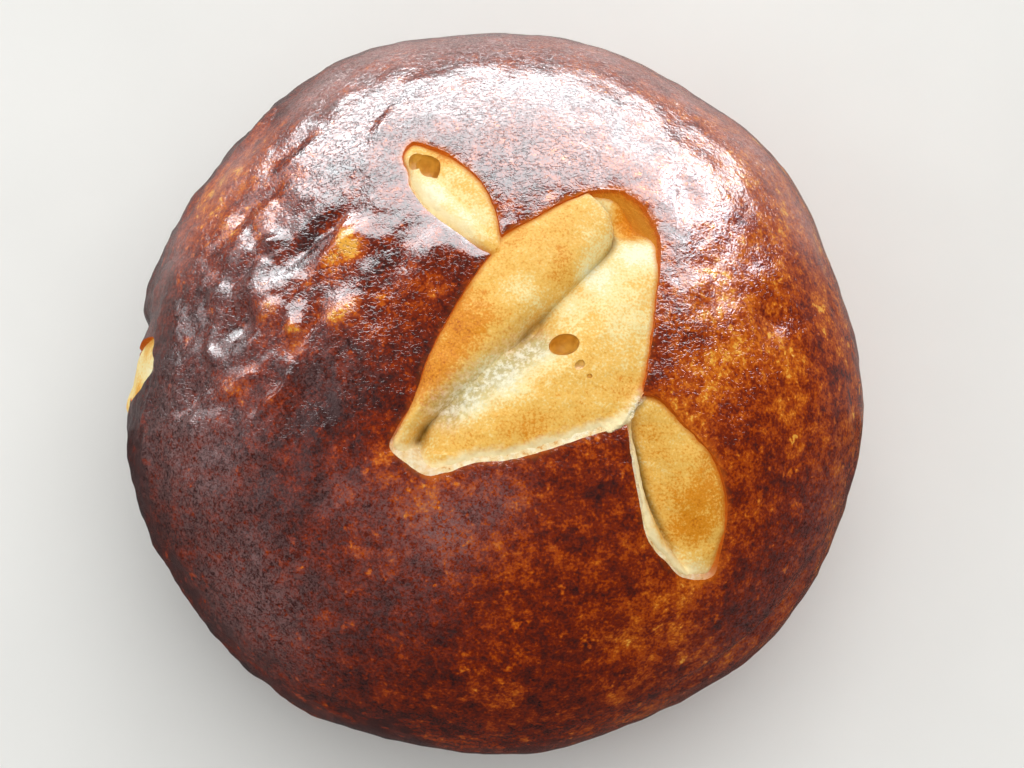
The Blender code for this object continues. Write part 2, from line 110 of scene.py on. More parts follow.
# Edges in plan: (x, y, width of the pale cut flank inside the edge) in millimetres.
EDGE_UPPER_LEFT = (
    (-11.5, 22.9, 0.5), (-10.2, 25, 0.3), (-7.4, 24.2, 0.3), (-4.6, 22.4, 0.3), (-1.5, 19.1, 0.3), (0.3, 15.4, 0.3),
    (1, 11.9, 0.3), (1.6, 9.2, 0.3), (-0.4, 9.2, 0.3), (-4, 11.5, 1), (-7.9, 14.8, 1.3), (-10.3, 18.2, 1),
    (-10.8, 20.6, 0.7),
)
EDGE_MIDDLE = (
    (0.9, 11.6, 0.3), (4.9, 14.1, 0.3), (9.6, 17, 0.3), (14.5, 18.7, 0.3), (18, 17.4, 0.3), (20.4, 13.6, 0.3),
    (20.8, 9.6, 0.3), (20.1, 3.6, 0.3), (19.5, -1.6, 0.3), (18.4, -7.2, 0.3), (17.6, -10.6, 0.3),
    (16.2, -11.9, 1.2), (11.5, -13.4, 1.8), (6.3, -15.2, 1.6), (1.7, -16.4, 1.4), (-2.2, -16.7, 1.2),
    (-5.7, -17.9, 1.2), (-8, -18.2, 1), (-10.6, -16.6, 1.2), (-12.5, -14.6, 0.9), (-11.6, -12.3, 0.5),
    (-9.7, -8.9, 0.3), (-8.1, -4.2, 0.3), (-5.9, 0.4, 0.3), (-2.8, 5.7, 0.3), (-0.4, 9.3, 0.3),
)
EDGE_LOWER_RIGHT = (
    (15.9, -10.8, 0.3), (17.8, -8.4, 0.3), (20.4, -8.5, 0.3), (23.6, -11.4, 0.3), (27.1, -15, 0.3),
    (28.6, -18.8, 0.3), (28.9, -22.6, 0.3), (28.1, -26.6, 0.3), (27.4, -28.8, 0.6), (25.4, -29.5, 0.9),
    (23, -29.2, 1), (21.4, -27.8, 1.1), (19.5, -26.1, 1.3), (18.4, -24, 1.4), (17.6, -20, 1.4), (16.8, -15.6, 1.2),
    (16.4, -12.4, 0.7),
)
# Creases in plan: (x, y, depth) in millimetres.
CREASE_UPPER_LEFT = ((-9, 22.4, 0.6), (-6, 18.6, 0.2), (-3, 15, 0.2), (-0.6, 12, 0.1))
CREASE_MIDDLE = (
    (11.6, 18.1, 0.5), (13.8, 17.3, 1.7), (15.5, 15.9, 2.5), (16.2, 13.9, 2.6), (15.7, 11.8, 2.5), (14.2, 9.7, 2.2),
    (11.9, 7.2, 1.9), (9, 4.2, 1.9), (6.9, 2, 2.2), (4.7, -0.2, 2.6), (3, -2, 1.9), (0.6, -3.9, 1.2),
    (-2.2, -6.6, 0.8), (-5.4, -9.6, 1.2), (-7.4, -11.4, 2), (-9.2, -13.3, 2.8), (-10.1, -15.4, 3), (-9.7, -17, 1.8),
)
CREASE_LOWER_RIGHT = (
    (17.6, -10.4, 1.2), (17.9, -12.6, 2.4), (18.9, -16.4, 3), (19.9, -20.6, 3), (21.4, -24.2, 2.6),
    (23.2, -27.2, 1.8), (24.2, -28.6, 0.8),
)
CURVE_STEP = 0.45 * MM
CRUMB_SILL = 0.25 * MM
# Lobes on the right of a crease's direction are steep beside it, and those on the left rise gently from it.
STEEP_LOBE, STEEP_POWER = 3.8 * MM, 3.0
GENTLE_LOBE, GENTLE_POWER = 6.5 * MM, 1.2
LOBE_SWELL = 0.8 * MM
GENTLE_SWELL_LOSS = 0.6
EDGE_FALL = 0.15 * MM
FLANK_FALL = 0.35 * MM
CREASE_SHADE = 0.5 * MM
FLANK_DEPTH = 1.8 * MM
FLANK_REACH = 3 * MM
# A flank this narrow, in millimetres, is a thin cut, and one 1 mm wider is fully torn.
THIN_FLANK = 0.3
# The rags of a flank: how far they push it, at the lip and further in, and their lengths.
FLANK_RAGS = 0.16 * MM
LIP_RAGS = 0.4 * FLANK_RAGS
RAG_LENGTH = 1.2 * MM
BROAD_RAG_LENGTH, BROAD_RAG_SHARE = 5 * MM, 0.5
# The ring of a wedge between the lip and the crumb: how far along, and how far under the lip.
WEDGE_WAIST, WEDGE_WAIST_SINK = 0.4, 0.3 * MM
# The pale trough below the pit of the middle crease, as its line in plan in millimetres.
TROUGH = ((5.2, -2.2, 0), (2.2, -4.6, 0), (-2, -7.6, 0), (-5.8, -10.6, 0))
TROUGH_HALF_WIDTH = 2.1 * MM
TROUGH_DEPTH = 1.0 * MM
# The torn spur that stands up between the middle and lower right openings, given the same way.
SPUR = ((14.2, -13, 0), (16.2, -11, 0), (18.2, -8.2, 0))
SPUR_HALF_WIDTH = 0.7 * MM
SPUR_HEIGHT = 0.7 * MM
CRUMB_LUMP_LENGTH = 3.2 * MM
CRUMB_LUMP_HEIGHT = 0.16 * MM
CRUMB_PORE_LENGTH = 0.9 * MM
CRUMB_PORE_HEIGHT = 0.05 * MM
TORN_PORE_HEIGHT = 0.32 * MM
# Hollows in the crumb: (x, y, half length, half width, turn, depth) in millimetres and degrees. The first is the
# pocket in the middle opening's corner, and the others are pits in its crease.
HOLLOWS = (
    (18.4, 15.2, 2.8, 2, -50, 2.4), (5.6, 0.5, 1.8, 0.7, 50, 1.7), (-9.6, -14.6, 1.8, 0.8, 75, 0.8),
)
BURIED = 2.6 * MM
BURIED_REACH = 1.5 * MM
BURIED_FLOOR = 2.5 * MM
# Gas bubbles broken open in the crumb: (x, y, radius along, radius across, depth) in millimetres, and a turn in
# degrees. The last three run together into the upper left opening's ragged one.
BUBBLES = (
    (8.8, -2.15, 1.85, 1.4, 2.5, 10),
    (10.5, -4.75, 0.75, 0.6, 0.22, 30),
    (11.7, -6.1, 0.35, 0.3, 0.3, 0),
    (-8, 21.3, 1.3, 1.7, 2.6, -15),
    (-8.6, 22.2, 1.5, 1.2, 2.2, -15),
    (-9.5, 22, 1.1, 1.4, 1.5, -15),
)
# The side burst: a tall split, in which the crumb shows a little below the crust.
BURST_DIRECTION = 179.2
BURST_HEIGHT = 34 * MM
BURST_HALF_LENGTH = 3.8 * MM
BURST_HALF_HEIGHT = 10.5 * MM
BURST_TOP_SINK, BURST_FOOT_SINK = 1.0 * MM, 0.1 * MM
BURST_POINTS = 60
BURST_WAVES = ((3, 0.1, 0.5), (5, 0.06, 2))
# The crumb's sink changes from foot to top over this stretch above the waist, and beyond the rim it is buried.
BURST_SLOPE_FOOT, BURST_SLOPE_LENGTH = 3 * MM, 15 * MM
BURST_FADE, BURST_FADE_START = 1.5, 0.8
BURST_BAND = 1.5
WEDGE_TOP = 1.22
WEDGE_BOTTOM = 0.8

# ---- How fine the surfaces are ----

CRUST_CUTS = 80
CRUMB_CUTS = 30
LIP_BAND = 2.4 * MM
FINE_LIP_BAND = 0.8 * MM
CRAG_BOX = (-41 * MM, -11 * MM, -14 * MM, 18 * MM)
SNAP_REACH = 0.14 * MM
SLIVER = 0.004 * MM
BUBBLE_SEGMENTS, BUBBLE_RINGS = 40, 24
SHARP_ANGLE = math.radians(38)
CHUNK = 4096

# ---- Colour ----

# How darkly the crust is baked: 0 is gold and 1 dark purple-brown. It darkens towards -X, and soft patches are
# painted over that in order: (x, y, radius) in millimetres, the level wanted and how much of it takes.
BAKE_AT_MIDDLE = 0.66
BAKE_PER_MM = -0.0062
BAKE_PATCHES = (
    (-36, 20, 11, 0.42, 0.85), (-12, 36, 14, 0.55, 0.6), (14, 40, 14, 0.5, 0.6), (34, 27, 14, 0.34, 0.7),
    (-24, 17, 8, 0.85, 0.6), (-33, 23, 10, 0.3, 0.85), (-11, 2, 7, 0.54, 0.8), (-13, -18, 8, 0.6, 0.7),
    (2, -22, 9, 0.5, 0.7), (-8, -24, 7, 0.58, 0.6), (30, -2, 9, 0.2, 0.85), (31, 9, 8, 0.26, 0.8),
    (43, -4, 7, 0.62, 0.7), (39, -22, 9, 0.82, 0.8), (31, -14, 6, 0.56, 0.7), (24, -33, 6, 0.42, 0.6),
    (33, -32, 8, 0.78, 0.7), (22, 1.5, 3, 0.62, 0.6), (21, 16, 3, 0.62, 0.6), (19, -6.5, 2.4, 0.86, 0.5),
    (10, -18, 6, 0.7, 0.5), (14, -22, 4, 0.82, 0.5), (-28, 3, 3.4, 0.4, 0.9), (-31.8, 2.2, 1.7, 0.66, 0.7),
    (-24.3, 0.6, 1.3, 0.02, 0.9), (-24.6, -2.6, 1.5, 0.14, 0.7), (-18.7, 2, 2.2, 0.02, 0.85),
    (-17.2, 11.6, 2.3, -0.25, 0.9), (-19.5, 9.5, 1.6, -0.1, 0.85), (-32.5, -5.2, 2.2, 0.34, 0.7),
    (-29.6, -4.2, 1.8, 0.4, 0.6), (-22.2, -8, 4.6, 0.98, 0.7), (-28, -8.5, 2.6, 0.6, 0.6),
    (-22.5, 5.5, 2.6, 0.6, 0.7), (-40, 20, 3.5, 0.35, 0.5), (-33, 24, 1.5, 0.15, 0.8), (-15, 38.5, 2.2, 0.35, 0.8),
    (-13, 17.5, 2.2, 0.5, 0.5), (24, -30, 3, 0.1, 0.7), (-7.5, -19.8, 2.6, 0.3, 0.8), (-14, -16.2, 2.2, 0.3, 0.7),
    (15.5, -43, 1.6, 0.1, 0.8), (27, 22, 2.2, 0.3, 0.5), (25.5, 6.8, 1.2, 0.05, 0.8), (-17, -27, 1.2, 0.2, 0.8),
    (-20.5, -34, 0.9, 0.3, 0.8), (-11, -26.5, 1.2, 0.4, 0.7), (-28, -26, 1.1, 0.3, 0.7),
)
PATCH_WARP = 1.3 * MM
PATCH_WARP_LENGTH = 4 * MM
# The greyish film on the crust, partly a painted sheen that stands in for dull reflections of the window and sky:
# (x, y, radius, strength).
FILM_AND_SHEEN_SHARE = 0.03
FILM_AND_SHEEN_PATCHES = (
    (-5.5, -24.5, 4.5, 0.95), (0, -21, 4, 0.6), (-12, -22, 4, 0.5), (-18, -20, 4, 0.5), (-38, -12, 12, 0.85),
    (-30, -32, 11, 0.85), (-12, -30, 8, 0.35), (-33, 6, 9, 0.6), (-20, -4, 6, 0.35), (44, -20, 10, 0.55),
    (34, -34, 10, 0.35), (-20, 33, 10, 0.4), (36, 24, 8, 0.25), (2, 40, 12, 0.75), (10, 28, 9, 0.6),
    (-6, 28, 7, 0.5),
)
# Painted reflection: a pale tint towards the +Y rim, standing in for the glaze mirroring the bright floor and
# window: (x, y, radius, strength).
PAINTED_REFLECTION_PATCHES = (
    (0, 46, 9, 0.65), (-13, 43, 8, 0.6), (14, 43, 8, 0.65), (25, 37, 7, 0.6), (34, 29, 7, 0.5), (41, 19, 6, 0.35),
    (-23, 36, 6, 0.45), (-34, 26, 6, 0.35), (-42, 15, 6, 0.3), (-46, 5, 5, 0.2),
)
# How finely wrinkled the crust is: (x, y, radius, strength).
WRINKLED_SHARE = 0.15
WRINKLED_PATCHES = (
    (0, 36, 12, 0.4), (14, 34, 10, 0.5), (24, 26, 9, 0.5), (-14, 31, 9, 0.8), (-24, 22, 10, 0.9),
    (-32, 10, 10, 0.9), (-40, -4, 9, 0.6), (-20, 6, 6, 0.7), (1, 21, 7, 1), (9, 23, 6, 0.9), (22, 9, 5, 0.8),
    (22.5, 1, 4, 0.8), (27, 14, 7, 0.4), (-2, 27, 5, 0.9),
)
# The orange line that lights up along the crust's cut edge: (x, y, radius, strength).
GLOW_SHARE = 0.12
GLOW_PATCHES = (
    (12, 18.5, 7, 0.95), (19.5, 15.5, 4.5, 0.8), (4, 14.5, 3, 0.5), (-9, 24, 4.5, 0.95), (-3, 20, 3, 0.5),
    (-7, -18.5, 4, 0.6), (5, -16, 5, 0.35), (28, -14, 5, 0.4), (26, -29.5, 3, 0.5),
)
# How toasted the crumb is, painted in order: (x, y, radius, level, share). 0 is cream and 1 orange-brown.
CRUMB_TOAST = 0.44
# Painted shade: a crease darkens from this share of that depth on.
CREASE_DARK_DEPTH, CREASE_DARK_START = 1.6 * MM, 0.9
# Distances to an edge are kept up to this far, and the crumb has none below this height above the waist.
EDGE_FARTHEST = 10 * MM
CRUMB_TOP = 20 * MM
# The patch at (18.6, 16.2) is painted shade: it browns the pocket in the middle opening's corner.
TOAST_PATCHES = (
    (-4, 0, 5, 0.86, 0.9), (-7.5, -6, 4, 0.86, 0.85), (1.5, 7, 4, 0.6, 0.7), (9, 7.5, 3, 0.72, 0.8),
    (3.4, 4.4, 2.2, 0.3, 0.7), (7.5, 13.5, 4, 0.58, 0.8), (14.5, 16.8, 1.6, 0.15, 0.9), (2.5, 11.5, 2.4, 0.62, 0.7),
    (18.4, 10.5, 3.2, -0.05, 0.95), (13.5, 7, 2.6, 0, 0.9), (10, 3.2, 2, 0.12, 0.8), (15, 2.5, 3.6, 0.28, 0.8),
    (18.5, 1, 2.6, 0.3, 0.8), (12, -5.5, 3, 0.52, 0.7), (16.2, -7.4, 2.4, 0.62, 0.7), (4.5, -11.5, 4.5, 0.62, 0.9),
    (-2.5, -14, 3.5, 0.62, 0.8), (10, -10, 3, 0.55, 0.7), (1.5, -6.5, 2.8, -0.05, 0.95), (-3, -9.4, 2.2, 0, 0.9),
    (6.2, -3.4, 1.8, 0, 0.8), (-10.5, -13.5, 2.2, 0.45, 0.8), (26, -19, 4.5, 0.78, 0.9),
    (25.5, -24, 3.5, 0.82, 0.8), (21, -13, 3.4, 0.6, 0.8), (22, -18, 2.4, 0.55, 0.7), (24.5, -28, 2, 0.3, 0.8),
    (18, -18, 1.8, 0.35, 0.8), (-7.4, 17, 3.6, 0, 0.95), (-3, 13.5, 2.6, 0.1, 0.9), (-3, 19, 3, 0.42, 0.8),
    (-6, 23.2, 2, 0.72, 0.8), (18.6, 16.2, 2.3, 0.9, 0.95), (-46, 0.5, 9, 0.12, 0.95), (-46.5, 3.4, 2.4, 0.62, 0.8),
    (-47.8, -3.4, 2.6, 0.78, 0.9),
)


def srgb(red, green, blue):
    """A linear colour from 0 to 255 screen values."""
    screen = np.array((red, green, blue)) / 255
    linear = np.where(screen <= 0.04045, screen / 12.92, ((screen + 0.055) / 1.055) ** 2.4)
    return (*linear.tolist(), 1.0)


# ---- Curves in plan ----


def smooth_curve(points_mm, closed):
    """A Catmull-Rom curve through the points, in metres, about CURVE_STEP between samples."""
    points = np.array(points_mm) * MM
    if closed:
        points = np.vstack((points[-1:], points, points[:2]))
    else:
        ends = (2 * points[:1] - points[1:2], 2 * points[-1:] - points[-2:-1])
        points = np.vstack((ends[0], points, ends[1]))
    samples = []
    for before, start, end, after in zip(points, points[1:], points[2:], points[3:]):
        count = max(1, round(np.linalg.norm((end - start)[:2]) / CURVE_STEP))
        t = np.arange(count)[:, None] / count
        samples.append(
            0.5 * (2 * start + (end - before) * t + (2 * before - 5 * start + 4 * end - after) * t**2
                   + (3 * start - before - 3 * end + after) * t**3)
        )
    if not closed:
        samples.append(points[-2:-1])
    return np.vstack(samples)


def in_chunks(function, plan):
    """The function's arrays for all the plan points, worked out CHUNK points at a time."""
    parts = [function(plan[start:start + CHUNK]) for start in range(0, len(plan), CHUNK)]
    return [np.concatenate(arrays) for arrays in zip(*parts)]


def to_curve(plan, curve, closed):
    """(distance, nearest point, side) from each plan point to the curve.

    The point's third value is interpolated too. The side runs from 1 on the left of the curve's direction to -1 on
    its right, and is 0 straight ahead of its ends.
    """
    start = curve
    end = np.roll(curve, -1, axis=0)
    if not closed:
        start, end = start[:-1], end[:-1]
    along = end - start
    offset = plan[:, None, :] - start[None, :, :2]
    length_squared = np.maximum((along[:, :2] ** 2).sum(axis=1), 1e-18)
    share = np.clip((offset * along[None, :, :2]).sum(axis=2) / length_squared, 0, 1)
    distance = np.linalg.norm(offset - share[..., None] * along[None, :, :2], axis=2)
    nearest = distance.argmin(axis=1)
    rows = np.arange(len(plan))
    point = start[nearest] + share[rows, nearest][:, None] * along[nearest]
    distance, offset, along = distance[rows, nearest], offset[rows, nearest], along[nearest]
    turned = along[:, 0] * offset[:, 1] - along[:, 1] * offset[:, 0]
    side = turned / np.maximum(distance * np.linalg.norm(along[:, :2], axis=1), 1e-12)
    return distance, point, np.clip(side, -1, 1)


def is_inside(plan, curve):
    """Whether each plan point lies inside the closed curve, by counting the edges that it has on its +X side."""
    x0, y0 = curve[:, 0], curve[:, 1]
    x1, y1 = np.roll(x0, -1), np.roll(y0, -1)
    x, y = plan[:, 0:1], plan[:, 1:2]
    spans = (y0 > y) != (y1 > y)
    rise = np.where(y1 == y0, 1, y1 - y0)
    return (spans & (x < x0 + (y - y0) / rise * (x1 - x0))).sum(axis=1) % 2 == 1


EDGES = [smooth_curve(edge, closed=True) for edge in (EDGE_UPPER_LEFT, EDGE_MIDDLE, EDGE_LOWER_RIGHT)]
CREASES = [
    smooth_curve(crease, closed=False) for crease in (CREASE_UPPER_LEFT, CREASE_MIDDLE, CREASE_LOWER_RIGHT)
]


def look_up_opening(plan):
    """What each plan point has to do with the opening that it lies in, or the nearest one.

    These are how far in from the edge it is, negative on the crust, the flank's width there, the distance to the
    crease, the crease's depth there and the side of the crease.
    """
    found = []
    for edge, crease in zip(EDGES, CREASES):
        to_edge, on_edge, _ = to_curve(plan, edge, closed=True)
        to_crease, on_crease, side = to_curve(plan, crease, closed=False)
        inside = np.where(is_inside(plan, edge), to_edge, -to_edge)
        found.append((inside, on_edge[:, 2], to_crease, on_crease[:, 2], side))
    found = np.array(found)
    found[:, 1] = np.where(found[:, 0] > -FLANK_REACH, found[:, 1], 0)
    return list(found[found[:, 0].argmax(axis=0), :, np.arange(len(plan))].T)


def opening_at(plan):
    return in_chunks(look_up_opening, plan)


def line_distance(plan, points_mm):
    line = smooth_curve(points_mm, closed=False)
    return in_chunks(lambda some: to_curve(some, line, closed=False), plan)[0]


def flank_foot(edge):
    """The closed curve that lies inside an opening's edge by the width of its flank."""
    along = np.roll(edge, -1, axis=0)[:, :2] - np.roll(edge, 1, axis=0)[:, :2]
    to_left = np.column_stack((-along[:, 1], along[:, 0])) / np.linalg.norm(along, axis=1)[:, None]
    left_is_inside = is_inside((edge[:, :2] + to_left * 0.1 * MM), edge).mean() > 0.5
    return edge[:, :2] + to_left * edge[:, 2:] * (1 if left_is_inside else -1)


# ---- The smooth dome and what is carried by it ----


def waist_radius(direction):
    radius = np.full(len(direction), WAIST_RADIUS)
    for count, height, crest in WAIST_WAVES:
        radius += height * np.cos(count * (direction - math.radians(crest)))
    return radius


def dome_points(rays):
    """Where unit rays from HEART leave the smooth body, before its foot is flattened."""
    radius = waist_radius(np.arctan2(rays[:, 1], rays[:, 0]))
    across = np.linalg.norm(rays[:, :2], axis=1) / radius
    upper = (across**DOME_POWER + (np.abs(rays[:, 2]) / DOME_RISE) ** DOME_POWER) ** (-1 / DOME_POWER)
    lower = (across**BASE_POWER + (np.abs(rays[:, 2]) / BASE_DROP) ** BASE_POWER) ** (-1 / BASE_POWER)
    return rays * np.where(rays[:, 2] > 0, upper, lower)[:, None]


def dome_from_plan(plan):
    """The points of the smooth body's upper half, from HEART, at these places in plan."""
    radius = waist_radius(np.arctan2(plan[:, 1], plan[:, 0]))
    across = np.clip(np.linalg.norm(plan, axis=1) / radius, 0, 1)
    rise = DOME_RISE * (1 - across**DOME_POWER) ** (1 / DOME_POWER)
    return np.column_stack((plan, rise))


def smooth_step(value):
    value = np.clip(value, 0, 1)
    return value * value * (3 - 2 * value)


def torn_share(flank):
    """0 for a flank that is only a thin cut, and 1 for a wide torn one."""
    return smooth_step(flank / MM - THIN_FLANK)


def stand_on_floor(points, floor, rounding):
    """Points below the floor come up to it, and its rim is rounded."""
    overlap = np.maximum(rounding - np.abs(points[:, 2] - floor), 0)
    points[:, 2] = np.maximum(points[:, 2], floor) + overlap**2 / (4 * rounding)
    return points


def fractal(points, length, octaves=2):
    return np.array([noise.fractal(Vector(p / length), 1.0, 2.0, octaves) for p in points])


def warped(points, length, amount):
    """The points pushed about by soft noise."""
    return points + amount * np.array([noise.noise_vector(Vector(p / length)) for p in points])


def wrinkles(dome):
    """Broad and fine wrinkles all over, and puckers with sharp grooves between them towards -X."""
    pucker = smooth_step((dome[:, 0] - PUCKER_START) / (PUCKER_FULL - PUCKER_START))
    broad = WRINKLE_HEIGHT * fractal(dome, WRINKLE_LENGTH)
    fine = FINE_WRINKLE_HEIGHT * fractal(dome, FINE_WRINKLE_LENGTH) * (1 + pucker)
    return broad + fine + PUCKER_HEIGHT * pucker * (np.abs(fractal(dome, PUCKER_LENGTH)) - PUCKER_LEVEL)


def fold(dome):
    """The groove along the +X -Y flank, fading out at its ends."""
    direction = np.degrees(np.arctan2(dome[:, 1], dome[:, 0]))
    along = np.sin(math.pi * np.clip((direction - FOLD_FROM) / (FOLD_TO - FOLD_FROM), 0, 1))
    off = (dome[:, 2] + WAIST_HEIGHT - FOLD_HEIGHT) / FOLD_HALF_WIDTH
    return -FOLD_DEPTH * along * np.exp(-(off**2))


def dents(plan, places):
    """The summed heights of oval bumps and dents: (x, y, half length, half width, turn, height)."""
    relief = np.zeros(len(plan))
    for x, y, half_length, half_width, turn, height in places:
        off = plan / MM - (x, y)
        along = np.array((math.cos(math.radians(turn)), math.sin(math.radians(turn))))
        across = np.array((-along[1], along[0]))
        relief += height * MM * np.exp(-((off @ along / half_length) ** 2) - (off @ across / half_width) ** 2)
    return relief


def side_lumps(dome):
    relief = np.zeros(len(dome))
    for direction, height, half_length, half_height, swell in SIDE_LUMPS:
        off = (dome - side_point(direction, height)) / (half_length, half_length, half_height)
        relief += swell * np.exp(-(off**2).sum(axis=1))
    return relief


def crust_relief(dome):
    """How far the crust stands out from the smooth dome."""
    upper = smooth_step(dome[:, 2] / UPPER_FADE)
    outside = np.maximum(-opening_at(dome[:, :2])[0], 0)
    crags = dents(warped(dome, CRAG_WARP_LENGTH, CRAG_WARP)[:, :2], CRAGS)
    swell = LIP_RISE * np.exp(-(((outside - LIP_REACH) / LIP_REACH) ** 2))
    roll = LIP_ROLL * np.exp(-outside / LIP_ROLL_REACH)
    return wrinkles(dome) + fold(dome) + side_lumps(dome) + upper * (crags + swell - roll)


def near_line(plan, points_mm, half_width):
    """1 on a line in plan, fading out beside it."""
    return np.exp(-((line_distance(plan, points_mm) / half_width) ** 2))


def crumb_relief(dome):
    """How far the crumb stands out from the smooth dome, which it mostly lies below.

    Its lobes rise from the creases, steeply on the right of each crease's direction and gently on the left. They
    swell in their middles and fall a little to the edges, and further beside the flanks.
    """
    plan = dome[:, :2]
    inside, flank, to_crease, depth, side = opening_at(plan)
    to_edge = np.maximum(inside, 0)
    left = (side + 1) / 2

    share = to_crease / np.maximum(to_crease + to_edge, 1e-9)
    reach = STEEP_LOBE + (GENTLE_LOBE - STEEP_LOBE) * left
    power = STEEP_POWER + (GENTLE_POWER - STEEP_POWER) * left
    swell = LOBE_SWELL * (1 - GENTLE_SWELL_LOSS * left) * 4 * share * (1 - share)
    torn = torn_share(flank)
    fall = EDGE_FALL + FLANK_FALL * torn
    relief = -CRUMB_SILL + swell - depth * (1 - np.clip(to_crease / reach, 0, 1)) ** power
    relief -= fall * np.exp(-to_edge / MM)
    trough = near_line(plan, TROUGH, TROUGH_HALF_WIDTH)
    spur = near_line(plan, SPUR, SPUR_HALF_WIDTH)
    relief += SPUR_HEIGHT * spur - TROUGH_DEPTH * trough
    relief -= dents(plan, HOLLOWS)
    relief += CRUMB_LUMP_HEIGHT * fractal(dome, CRUMB_LUMP_LENGTH)
    open_pores = np.maximum(np.maximum(trough, spur), np.exp(-to_edge / MM) * torn)
    relief += (CRUMB_PORE_HEIGHT + TORN_PORE_HEIGHT * open_pores) * fractal(dome, CRUMB_PORE_LENGTH, 3)

    buried = smooth_step(-inside / BURIED_REACH)
    relief = relief * (1 - buried) - BURIED * buried
    lower = smooth_step(-dome[:, 2] / UPPER_FADE + 1)
    relief = relief * (1 - lower) - BURIED * lower
    return np.maximum(relief, burst_relief(dome))


def burst_relief(dome):
    """The crumb behind the side burst, at its own height there and buried elsewhere."""
    size = (BURST_HALF_LENGTH, BURST_HALF_LENGTH, BURST_HALF_HEIGHT)
    off = np.linalg.norm((dome - side_point(BURST_DIRECTION, BURST_HEIGHT)) / size, axis=1)
    sink = BURST_FOOT_SINK + (BURST_TOP_SINK - BURST_FOOT_SINK) * smooth_step(
        (dome[:, 2] - BURST_SLOPE_FOOT) / BURST_SLOPE_LENGTH
    )
    level = side_lumps(dome) - sink + CRUMB_LUMP_HEIGHT * fractal(dome, FINE_WRINKLE_LENGTH)
    return level - BURIED * smooth_step(off / BURST_FADE - BURST_FADE_START)


def side_point(direction, height):
    """A point of the smooth dome, from HEART, in this direction in degrees and about this high."""
    turn = math.radians(direction)
    ray = np.array((math.cos(turn), math.sin(turn), (height - WAIST_HEIGHT) / WAIST_RADIUS))
    return dome_points((ray / np.linalg.norm(ray))[None])[0]


def burst_rim():
    """The closed rim of the side burst, as points of the smooth dome from HEART."""
    rim = []
    for turn in np.arange(BURST_POINTS) * 2 * math.pi / BURST_POINTS:
        reach = 1 + sum(share * math.sin(count * turn + start) for count, share, start in BURST_WAVES)
        along = math.degrees(BURST_HALF_LENGTH * reach * math.cos(turn) / WAIST_RADIUS)
        up = BURST_HALF_HEIGHT * reach * math.sin(turn)
        rim.append(side_point(BURST_DIRECTION + along, BURST_HEIGHT + up))
    return np.array(rim)


def on_dome(points):
    """The smooth body's points, from HEART, on the rays through these."""
    rays = points - HEART
    return dome_points(rays / np.linalg.norm(rays, axis=1)[:, None])


# ---- Meshes ----


def to_sphere(bm):
    """Carries a cube's surface to the unit sphere, with its squares kept near one size."""
    for vert in bm.verts:
        evened = Vector([math.tan(coordinate * math.pi / 4) for coordinate in vert.co])
        vert.co = evened.normalized()


def near_openings(dome, low, high):
    """Whether each dome point is between low and high inside an opening's edge, or by the side burst."""
    in_plan = np.where(dome[:, 2] > 0, opening_at(dome[:, :2])[0], -WAIST_RADIUS)
    off_burst = np.linalg.norm(dome - side_point(BURST_DIRECTION, BURST_HEIGHT), axis=1)
    return ((low < in_plan) & (in_plan < high)) | (off_burst < BURST_HALF_HEIGHT * BURST_BAND)


def lip_band(dome):
    return near_openings(dome, -LIP_BAND, LIP_BAND)


def fine_lip_band(dome):
    return near_openings(dome, -FINE_LIP_BAND, FINE_LIP_BAND)


def openings(dome):
    return near_openings(dome, -LIP_BAND / 2, WAIST_RADIUS)


def crag_area(dome):
    left, right, low, high = CRAG_BOX
    x, y, up = dome.T
    return (up > 0) & (left < x) & (x < right) & (low < y) & (y < high)


def snap_to_creases(bm):
    """Moves the vertices of a unit sphere that lie beside a crease onto it."""
    chosen = [vert for vert in bm.verts if vert.co.z > 0]
    plan = dome_points(np.array([vert.co for vert in chosen]))[:, :2]
    for crease in CREASES:
        distance, point = in_chunks(lambda some: to_curve(some, crease, closed=False)[:2], plan)
        for vert, off, ray in zip(chosen, distance, dome_from_plan(point[:, :2])):
            if off < SNAP_REACH:
                vert.co = Vector(ray).normalized()


def refine(bm, area):
    """Halves the faces with a corner in the area."""
    dome = dome_points(np.array([vert.co for vert in bm.verts]))
    chosen = [vert for vert, within in zip(bm.verts, area(dome)) if within]
    edges = {edge for vert in chosen for face in vert.link_faces for edge in face.edges}
    bmesh.ops.subdivide_edges(bm, edges=list(edges), cuts=1, use_grid_fill=True)
    for vert in bm.verts:
        vert.co.normalize()


def mesh_object(name, bm, material):
    bmesh.ops.recalc_face_normals(bm, faces=bm.faces)
    mesh = bpy.data.meshes.new(name)
    bm.to_mesh(mesh)
    bm.free()
    mesh.materials.append(material)
    mesh.shade_smooth()
    made = bpy.data.objects.new(name, mesh)
    bpy.context.scene.collection.objects.link(made)
    return made


def swollen_sphere(name, relief_of, floor, cuts, refinements, material):
    """A divided sphere carried to the dome plus relief_of's relief, standing on the floor."""
    bm = bmesh.new()
    bmesh.ops.create_cube(bm, size=2)
    bmesh.ops.subdivide_edges(bm, edges=bm.edges, cuts=cuts, use_grid_fill=True)
    to_sphere(bm)
    for area in refinements:
        refine(bm, area)
    snap_to_creases(bm)
    rays = np.array([vert.co for vert in bm.verts])
    dome = dome_points(rays)
    points = HEART + dome + rays * relief_of(dome)[:, None]
    stand_on_floor(points, floor, FOOT_ROUNDING)
    for vert, point in zip(bm.verts, points):
        vert.co = point
    bmesh.ops.triangulate(bm, faces=bm.faces)
    return mesh_object(name, bm, material)


def sunk(points, depth):
    """Dome points from HEART, moved in along their rays and placed in the part."""
    return HEART + points * (1 - depth / np.linalg.norm(points, axis=1))[:, None]


